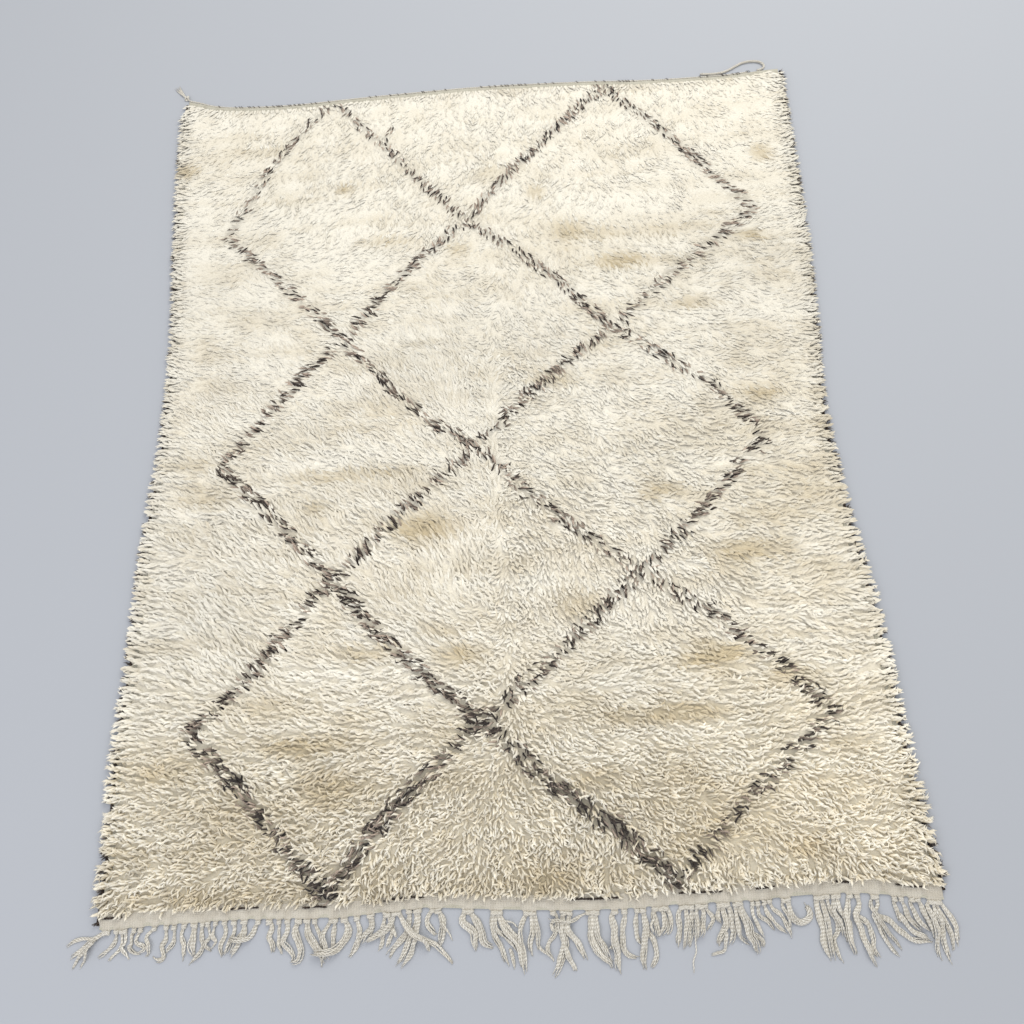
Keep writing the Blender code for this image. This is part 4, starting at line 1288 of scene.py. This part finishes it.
def lift_of(centre, total, tied):
    """How high a hank is lifted by what already lies under it; one that is tied starts on the floor."""
    under = np.array([heights[a - 2 : a + 3, b - 2 : b + 3].max() for a, b in zip(*squares(centre))])
    if tied:
        under *= np.clip(np.linspace(0, total, PLACES) / 0.03 - 0.5, 0, 1)
    for _ in range(2):
        under = np.maximum(under, np.convolve(np.pad(under, 1, mode="edge"), (0.25, 0.5, 0.25), "valid"))
    return np.minimum(under, HIGHEST)


def spread_of(s, total, tied):
    """How wide a hank spreads along its length, as a share of its width: gathered at its knot and its tip."""
    if not tied:
        return np.interp(s, (0, 0.15, 0.8, 1), (0.4, 0.9, 0.9, 0.5))
    wide = np.interp(s * total, (0, 0.010, 0.016, 0.035, total), (1.2, 0.75, 0.5, 0.95, 0.95))
    return wide * np.interp(s, (0, 0.8, 1), (1, 1, 0.55))


s = np.linspace(0, 1, PLACES)
print("spread of a tied hank 90 mm long:", spread_of(s, 0.09, True)[::4].round(2))

# %% Lay the hanks on the floor
FULLNESS = 1.18  # a hank is this much wider than its middle line suggests
YARN_WIDTH = 1.95  # mm of a hank's width for each of its yarns
YARN_PLACES = 16  # places along one of its yarns
draw = np.random.default_rng(12)
lines, widths, tints, knots = [], [], [], []
for root, wide, *places in HANKS:
    wide *= FULLNESS
    points = [(places[k], places[k + 1]) for k in range(0, len(places), 2)]
    if root is not None:
        start = -1000 * (1 + fringe_y(root * MM))
        points = [(root, start - 6), (root, start + 3)] + points
        knots.append((root, wide))
    centre = smooth_line([(px * MM, -1 - down * MM) for px, down in points], PLACES)
    total = line_length(centre)
    under, gather = lift_of(centre, total, root is not None), spread_of(s, total, root is not None)
    ahead = np.gradient(centre, axis=0)
    ahead /= np.linalg.norm(ahead, axis=1)[:, None]
    side = np.column_stack([ahead[:, 1], -ahead[:, 0]])
    half = (wide * MM - WARP) / 2
    yarns = max(1, round(wide / YARN_WIDTH))
    twist = draw.uniform(-0.35, 0.35)
    placed = []
    for k in range(yarns):
        seat = (k - (yarns - 1) / 2) / max(yarns - 1, 1)
        phase = math.asin(max(-1.0, min(1.0, 2 * seat))) + 2 * math.pi * twist * (s - 0.3)
        offset = half * gather * np.sin(phase)
        offset += 0.0009 * np.sin(2 * math.pi * (s * total / draw.uniform(0.026, 0.045) + draw.uniform(0, 1)))
        stack = 0.35 * half * gather * (1 + np.cos(phase) * (1 if k % 2 else 0.4))
        reach = 1 - draw.uniform(0, 0.13)
        line = np.column_stack([centre + side * offset[:, None], WARP / 2 + under + stack * np.clip(3 * s, 0.3, 1)])
        cut = np.linspace(0, reach, YARN_PLACES)
        line = np.stack([np.interp(cut, s, line[:, axis]) for axis in range(3)], axis=-1)
        curl = draw.normal(0, 0.22) * np.clip(cut - 0.72, 0, 1) ** 2 * 6
        line[:, :2] += np.stack([-ahead[-1, 1] * curl, ahead[-1, 0] * curl], axis=-1) * 0.012
        line[-3:, 2] = np.maximum(line[-3:, 2] * (0.9, 0.75, 0.55), WARP * 0.5)
        placed.append(line)
        thick = WARP * draw.uniform(0.85, 1.2)
        widths.append(thick * np.interp(cut / reach, (0, 0.06, 0.85, 1), (0.8, 1, 0.95, 0.35)))
        tints.append((1 + draw.normal(0, 0.08), np.clip(0.3 + draw.normal(0, 0.25), 0, 1)))
    lines += placed
    for line in placed:
        a, b = squares(line)
        for shift_x, shift_y in ((0, 0), (1, 0), (-1, 0), (0, 1), (0, -1)):
            np.maximum.at(heights, (a + shift_x, b + shift_y), line[:, 2] + WARP / 2)
fringe = strands("fringe_hanks", lines, widths, tints, warp_yarn, sides=4)
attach(fringe, "root")
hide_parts("warp_fringe")
print("hanks:", len(HANKS), "of which tied:", len(knots))

# %% [markdown]
# ## Flat band
# The last wefts before the fringe are packed into a flat band. It isn't straight: each knot pulls it down to a small
# point, and it is lumpy where the wefts turn. A fine grid is shaped to that, and its rim is closed as the bed's is.

# %% Make the band
WEFTS = 5.5  # ridges of packed wefts across the band
band = closed_grid("flat_band", 430, 12)
flat = places_of(band)
half_way = flat[:, 1] + 0.5
near_end = np.full(len(flat), -1.02)
band_x = side_x(-1, near_end) * (0.5 - flat[:, 0]) + side_x(1, near_end) * (0.5 + flat[:, 0])
pull = np.max([math.sqrt(wide / 9) * np.exp(-(((band_x - root * MM) / 0.0065) ** 2)) for root, wide in knots], axis=0)
edge = fringe_y(band_x) + 0.0015 - 0.0065 * pull + 0.0008 * drift(band_x, band_x * 0, 0.012, 1, 91)
band_y = edge + (fringe_y(band_x) + BAND + 0.006 - edge) * half_way
swell = np.sin(math.pi * np.clip(half_way * 2.5, 0, 1) / 2)
band_z = CLOTH * (0.35 + 0.65 * swell) + 0.0010 + 0.0004 * np.sin(2 * math.pi * half_way * WEFTS)
band_z += 0.0005 * drift(band_x, band_y, 0.009, 0.006, 92) + 0.0010 * pull * (1 - half_way) ** 2
lay_out(band, band_x, band_y, np.where(flat[:, 2] < -0.5, 0.0006, band_z), band_weave)
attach(band, "root")
print("flat band:", len(band.data.polygons), "faces")

# %% [markdown]
# ## Knots of the fringe
# Each hank is tied at the band with one yarn wound round it. One small wound knot is modelled: a torus, squashed,
# and each hank gets two copies of it, turned and sized a little differently.

# %% Model one wound knot and copy it
KNOT_HEIGHT = 0.0039  # middle of a knot above the floor
bpy.ops.object.select_all(action="DESELECT")
bpy.ops.mesh.primitive_torus_add(major_segments=8, minor_segments=5, major_radius=0.0034, minor_radius=0.0017)
knot_model = bpy.context.object
bpy.ops.object.mode_set(mode="EDIT")
bpy.ops.mesh.select_all(action="SELECT")
bpy.ops.transform.rotate(value=math.pi / 2, orient_axis="X", center_override=(0, 0, 0))
bpy.ops.transform.resize(value=(1.0, 1.5, 0.72))
bpy.ops.object.mode_set(mode="OBJECT")
knot_points = places_of(knot_model)
knot_faces = [list(face.vertices) for face in knot_model.data.polygons]
place_in_cell = (knot_points[:, :2] - knot_points[:, :2].min(0)) / np.ptp(knot_points[:, :2], axis=0)
points, faces, cells, inside = [], [], [], []
for root, wide in knots:
    for layer in range(2):
        turn_by = draw.uniform(-0.35, 0.35)
        size = np.array((0.45 + wide / 14, 1.0, 0.95)) * draw.uniform(0.9, 1.1)
        cosine, sine = math.cos(turn_by), math.sin(turn_by)
        copy = knot_points * size @ np.array(((cosine, sine, 0), (-sine, cosine, 0), (0, 0, 1)))
        down = 0.0050 + 0.0030 * layer
        copy += (root * MM, float(fringe_y(root * MM)) - down + draw.normal(0, 0.0006), KNOT_HEIGHT)
        faces += [tuple(v + len(points) * len(knot_points) for v in face) for face in knot_faces]
        for face in knot_faces:
            cells += [len(points)] * len(face)
            inside += [place_in_cell[v] for v in face]
        points.append(copy)
wraps = mesh_of("fringe_knots", np.concatenate(points).tolist(), faces)
tint_points(wraps, np.tile((0.98, 0.35, 0.5, 1.0), len(wraps.vertices)))
bake_cells(wraps, np.array(cells), np.array(inside), len(points))
lay_map(wraps, "strand", np.array(inside) * (1.0, 0.012))
wraps = object_of("fringe_knots", wraps, warp_yarn)
bpy.data.objects.remove(knot_model)
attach(wraps, "root")
print("wound knots:", len(points))

# %% [markdown]
# ## Selvedges
# Both sides are bound with goat hair: two warps are wrapped over and over with a coarse black-brown yarn. A swept
# core carries one helical ridge to each stitch, and most of it hides under the overhanging pile.

# %% Bind the sides
GAP = 0.0004  # between the cloth and what is laid along it
EDGE = 0.006  # thickness of the binding
STITCH = 0.0085  # from one stitch to the next
for side, label in ((-1, "left"), (1, "right")):
    y_run = np.arange(-1.016, 0.985, 0.0026)
    edge_x = side_x(side, y_run) + side * (3 * GAP + EDGE / 2)
    stitch = 0.5 + 0.5 * np.sin(2 * math.pi * y_run / STITCH + 1.5 * drift(y_run, y_run * 0, 0.05, 1, 61))
    line = np.column_stack([edge_x, y_run, EDGE / 2 + 0.0002 + 0.0003 * stitch])
    thick = EDGE * (0.86 + 0.14 * stitch)
    binding = strands(f"selvedge_binding_{label}", [line], [thick], [(1.0, 0.35)], goat_hair, sides=7)
    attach(binding, "root")
    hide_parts(f"selvedge_{label}")

# %% Tufts of goat hair that stick out of the sides
TUFTS = (  # side, y from, y to in metres, hairs to a centimetre
    (-1, -1.010, -0.870, 7.0),
    (-1, -0.870, -0.640, 3.0),
    (-1, -0.640, -0.420, 7.0),
    (-1, -0.420, -0.200, 4.5),
    (-1, -0.200, 0.300, 2.2),
    (-1, 0.300, 0.980, 2.6),
    (1, -1.000, -0.900, 6.0),
    (1, -0.900, -0.700, 2.0),
    (1, -0.700, -0.560, 7.0),
    (1, -0.560, -0.150, 2.5),
    (1, -0.150, 0.250, 4.0),
    (1, 0.250, 0.520, 3.0),
    (1, 0.520, 0.980, 5.0),
)
BUNCH = (3, 8)  # hairs in a bunch: from the first number to one less than the second
HAIR_WIDTH = 0.0021
hair = model_lock("hair", ((0.0, 0.9), (0.4, 1.0), (0.75, 0.75), (1.0, 0.0)))
root_y, tuft_side, tuft_way = [], [], []
for side, low, high, dense in TUFTS:
    for _ in range(int((high - low) * 100 * dense / 5)):
        bunch = draw.integers(*BUNCH)
        root_y.append(draw.uniform(low, high) + draw.normal(0, 0.0022, bunch))
        tuft_side.append(np.full(bunch, side))
        tuft_way.append(draw.normal(-0.25, 0.5) + draw.normal(0, 0.2, bunch))
root_y, tuft_side, tuft_way = (np.concatenate(part) for part in (root_y, tuft_side, tuft_way))
root_x = np.where(tuft_side < 0, side_x(-1, root_y), side_x(1, root_y)) + tuft_side * 0.0045
hairs = len(root_y)
tufts = plant(
    "goat_hair_tufts",
    hair,
    roots=np.column_stack([root_x, root_y, draw.uniform(0.002, 0.0055, hairs)]),
    heading=np.where(tuft_side > 0, 0, math.pi) + tuft_way * tuft_side,
    lean=draw.normal(1.22, 0.12, hairs),
    length=draw.uniform(0.008, 0.019, hairs),
    width=np.full(hairs, HAIR_WIDTH),
    wave=draw.normal(0, 0.0015, hairs),
    # Each hair's foot takes the full painted root shade of the dark wool.
    tint=(draw.uniform(0.35, 0.75, hairs), draw.uniform(0, 0.9, hairs), np.zeros(hairs)),
    material=dark_wool,
)
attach(tufts, "root")
bpy.data.objects.remove(hair)

# %% [markdown]
# ## Heading cord
# At the plain end the first warps were looped over a thick two-ply cord that lies along the edge. It runs from the
# left corner to near the right one, where it leaves the cloth as a loose end.

# %% Heading cord
HEADING = 0.0044  # thickness of the cord
HEADING_END = 0.712
HEADING_PLACES = 416
spread = np.linspace(-0.7835, HEADING_END, HEADING_PLACES)
heading_line = np.column_stack(
    [spread, plain_y(spread) + GAP + HEADING / 2 + 0.0002, HEADING / 2 + 0.0004 * np.sin(spread / 0.045) + 0.0006]
)
lead = np.array(((-0.7905, 1.0034, 0.0026), (-0.7875, 1.0010, 0.0026)))
heading_line = smooth_line(np.concatenate([lead, heading_line[::8]]), HEADING_PLACES)
lines, ply = wound(heading_line, HEADING, 2, 0.011)
heading_cord = strands("heading_cord_plies", lines, [ply * 1.12] * 2, [(1.0, 0.35), (0.96, 0.5)], warp_yarn)
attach(heading_cord, "root")
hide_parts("heading_cord")
print("heading cord length in metres:", round(line_length(heading_line), 3))

# %% Dark stitches that hold it
STITCHED = (  # x from, x to in mm, share of the stitches that are dark
    (-780, -660, 0.25),
    (-660, -450, 0.70),
    (-450, -40, 0.30),
    (-40, 160, 0.60),
    (160, 620, 0.30),
    (620, 700, 0.45),
)
STITCH_REACH = 0.0030  # from the middle of the cord to the stitch round it
STITCH_PLACES = 9
arc = np.linspace(-0.25 * math.pi, 0.98 * math.pi, STITCH_PLACES)
span = np.linspace(0, 1, STITCH_PLACES) - 0.5
lines, widths, tints = [], [], []
for first, last, share in STITCHED:
    for at in np.arange(first, last, 9.0) * MM:
        if draw.uniform() > share:
            continue
        at += draw.normal(0, 0.002)
        out = float(plain_y(np.array([at]))[0]) + GAP + HEADING / 2 + STITCH_REACH * np.cos(arc)
        up = HEADING / 2 + 0.0004 + STITCH_REACH * np.sin(arc).clip(-0.4, 1)
        lines.append(np.column_stack([at + 0.008 * span, out, up]))
        widths.append(np.full(STITCH_PLACES, 0.0014))
        tints.append((draw.uniform(0.8, 1.3), draw.uniform(0, 1)))
stitches = strands("heading_stitches", lines, widths, tints, goat_hair, sides=4)
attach(stitches, "root")

# %% [markdown]
# ## Loose cord at the right corner
# The end of the heading cord was left long, as a three-ply cord. It makes a small bow beyond the edge, then lies
# along the plain end and stops in a frayed tip. It is one limp length on one smooth line.

# %% Corner cord
CORD = 0.006
CORD_ROUTE = (  # x, distance beyond the cloth's edge, in metres
    (0.7200, 0.0044),
    (0.7290, 0.0086),
    (0.7320, 0.0170),
    (0.7270, 0.0265),
    (0.7170, 0.0325),
    (0.7040, 0.0360),
    (0.6880, 0.0370),
    (0.6720, 0.0345),
    (0.6560, 0.0275),
    (0.6400, 0.0190),
    (0.6230, 0.0125),
    (0.6040, 0.0100),
    (0.5840, 0.0105),
    (0.5640, 0.0125),
)
CORD_PLACES = 150
route = [(x_at, float(plain_y(np.array([x_at]))[0]) + beyond, CORD / 2) for x_at, beyond in CORD_ROUTE]
first_x = HEADING_END + GAP
route.insert(0, (first_x, float(plain_y(np.array([first_x]))[0]) + GAP + CORD / 2, CORD / 2))
cord_line = smooth_line(route, CORD_PLACES)
lines, ply = wound(cord_line, CORD, 3, 0.024)
thick = ply * 1.15 * np.interp(np.linspace(0, 1, CORD_PLACES), (0, 0.02, 0.97, 1), (0.8, 1, 1, 0.7))
corner_cord = strands("corner_cord_plies", lines, [thick] * 3, [(1.0, 0.45), (0.95, 0.6), (0.9, 0.3)], warp_yarn)
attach(corner_cord, "root")
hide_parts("corner_cord")

# %% [markdown]
# ## Tie at the left corner
# At the other corner the cord ends in a small overhand knot and a brush of opened yarn that points away.

# %% Corner tie
BRUSH = 26  # strands of the brush
LAP_PLACES = 22
lines, widths, tints = [], [], []
turn_at = np.linspace(0, 2 * math.pi, LAP_PLACES)
for lap in range(3):
    tilt = 0.5 * (lap - 1)
    ring = np.column_stack([0.0048 * np.cos(turn_at), 0.0034 * np.sin(turn_at) * math.cos(tilt), turn_at * 0])
    ring[:, 2] = 0.0036 + 0.0022 * np.sin(turn_at + lap) + 0.0002
    lines.append(ring + (-0.7945, 1.0085 + 0.0035 * (lap - 1), 0))
    widths.append(np.full(LAP_PLACES, 0.0030))
    tints.append((0.98, 0.4))
t = np.linspace(0, 1, 10)
for _ in range(BRUSH):
    spread_by = draw.normal(0, 0.11)
    run = draw.uniform(0.026, 0.052)
    way = np.array((-0.62 + spread_by, 0.78 + 0.4 * spread_by))
    way /= np.hypot(*way)
    bend = draw.normal(0, 0.004)
    base = np.array((-0.7960, 1.0100)) + draw.normal(0, 0.0012, 2)
    flat_line = base + np.outer(t * run, way) + np.outer(bend * t**2, (way[1], -way[0]))
    lift = 0.0012 + 0.0022 * draw.uniform(0, 1) * (1 - t) + 0.004 * t * (1 - t) * draw.uniform(0.2, 1)
    lines.append(np.column_stack([flat_line, lift]))
    widths.append(0.0021 * np.interp(t, (0, 0.7, 1), (1, 0.9, 0.25)))
    tints.append((1 + draw.normal(0, 0.05), np.clip(draw.normal(0.3, 0.2), 0, 1)))
tie = strands("corner_tie_strands", lines, widths, tints, warp_yarn, sides=5)
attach(tie, "root")
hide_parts("corner_tie")

# %% [markdown]
# ## The rug as a sheet
# The ground cloth with the pile on it is one sheet, laid flat, and its cut size is known from the loom.

print("the cloth is laid on the floor")

# %% [markdown]
# ## Floor, light and camera
# A plain pale floor, one large soft light behind the plain end and to the right, and a weaker one in front. The
# camera stands over the fringed end at head height, looks down and away, and leans a little to one side.

# %% Stage
bpy.ops.object.select_all(action="DESELECT")
bpy.ops.mesh.primitive_plane_add(size=14.0, location=(0, 0, 0))
floor = bpy.context.object
floor.name = "floor"
floor_paint, _, floor_shader = start_material("pale floor", Roughness=0.75)
floor_shader.inputs["Base Color"].default_value = linear("#AEB1B6")
floor.data.materials.append(floor_paint)


def area_light(name, place, target, size, watts, colour):
    """A square area light that faces a place."""
    lamp = bpy.data.lights.new(name, "AREA")
    lamp.shape = "SQUARE"
    lamp.size = size
    lamp.energy = watts
    lamp.color = linear(colour)[:3]
    made = bpy.data.objects.new(name, lamp)
    towards = np.array(target, float) - np.array(place, float)
    made.rotation_euler = Vector(towards).to_track_quat("-Z", "Y").to_euler()
    made.location = place
    bpy.context.scene.collection.objects.link(made)


area_light("sky window", (1.3, 2.6, 3.3), (0.1, 0.3, 0), size=2.6, watts=85, colour="#FFFDF6")
area_light("soft front", (-1.8, -2.4, 3.0), (0, 0, 0), size=2.5, watts=40, colour="#F2F5FF")
world = bpy.data.worlds.new("soft room")
world.use_nodes = True
world.node_tree.nodes["Background"].inputs["Color"].default_value = linear("#F4F5F8")
world.node_tree.nodes["Background"].inputs["Strength"].default_value = 0.88
bpy.context.scene.world = world
bpy.context.scene.view_settings.view_transform = "Standard"
print("lights:", sorted(lamp.name for lamp in bpy.data.lights))

# %% Camera
CAMERA_PLACE = (0.0622, -0.9769, 1.9683)
camera_data = bpy.data.cameras.new("camera")
camera_data.sensor_width = 36.0
camera_data.lens = 33.93
camera = bpy.data.objects.new("camera", camera_data)
# The columns are the arrows that point right, up and back from the camera.
turn = Matrix(((0.99856, 0.05016, 0.01926), (-0.03983, 0.93161, -0.36126), (-0.03606, 0.35997, 0.93227)))
camera.matrix_world = Matrix.Translation(CAMERA_PLACE) @ turn.to_4x4()
bpy.context.scene.collection.objects.link(camera)
bpy.context.scene.camera = camera
print("camera height in metres:", round(camera.location.z, 2))

# %% [markdown]
# ## Finish
# The two model locks are removed, now that all their copies are planted.

# %% Remove the model locks
for model in (long_lock, short_lock):
    bpy.data.objects.remove(model)
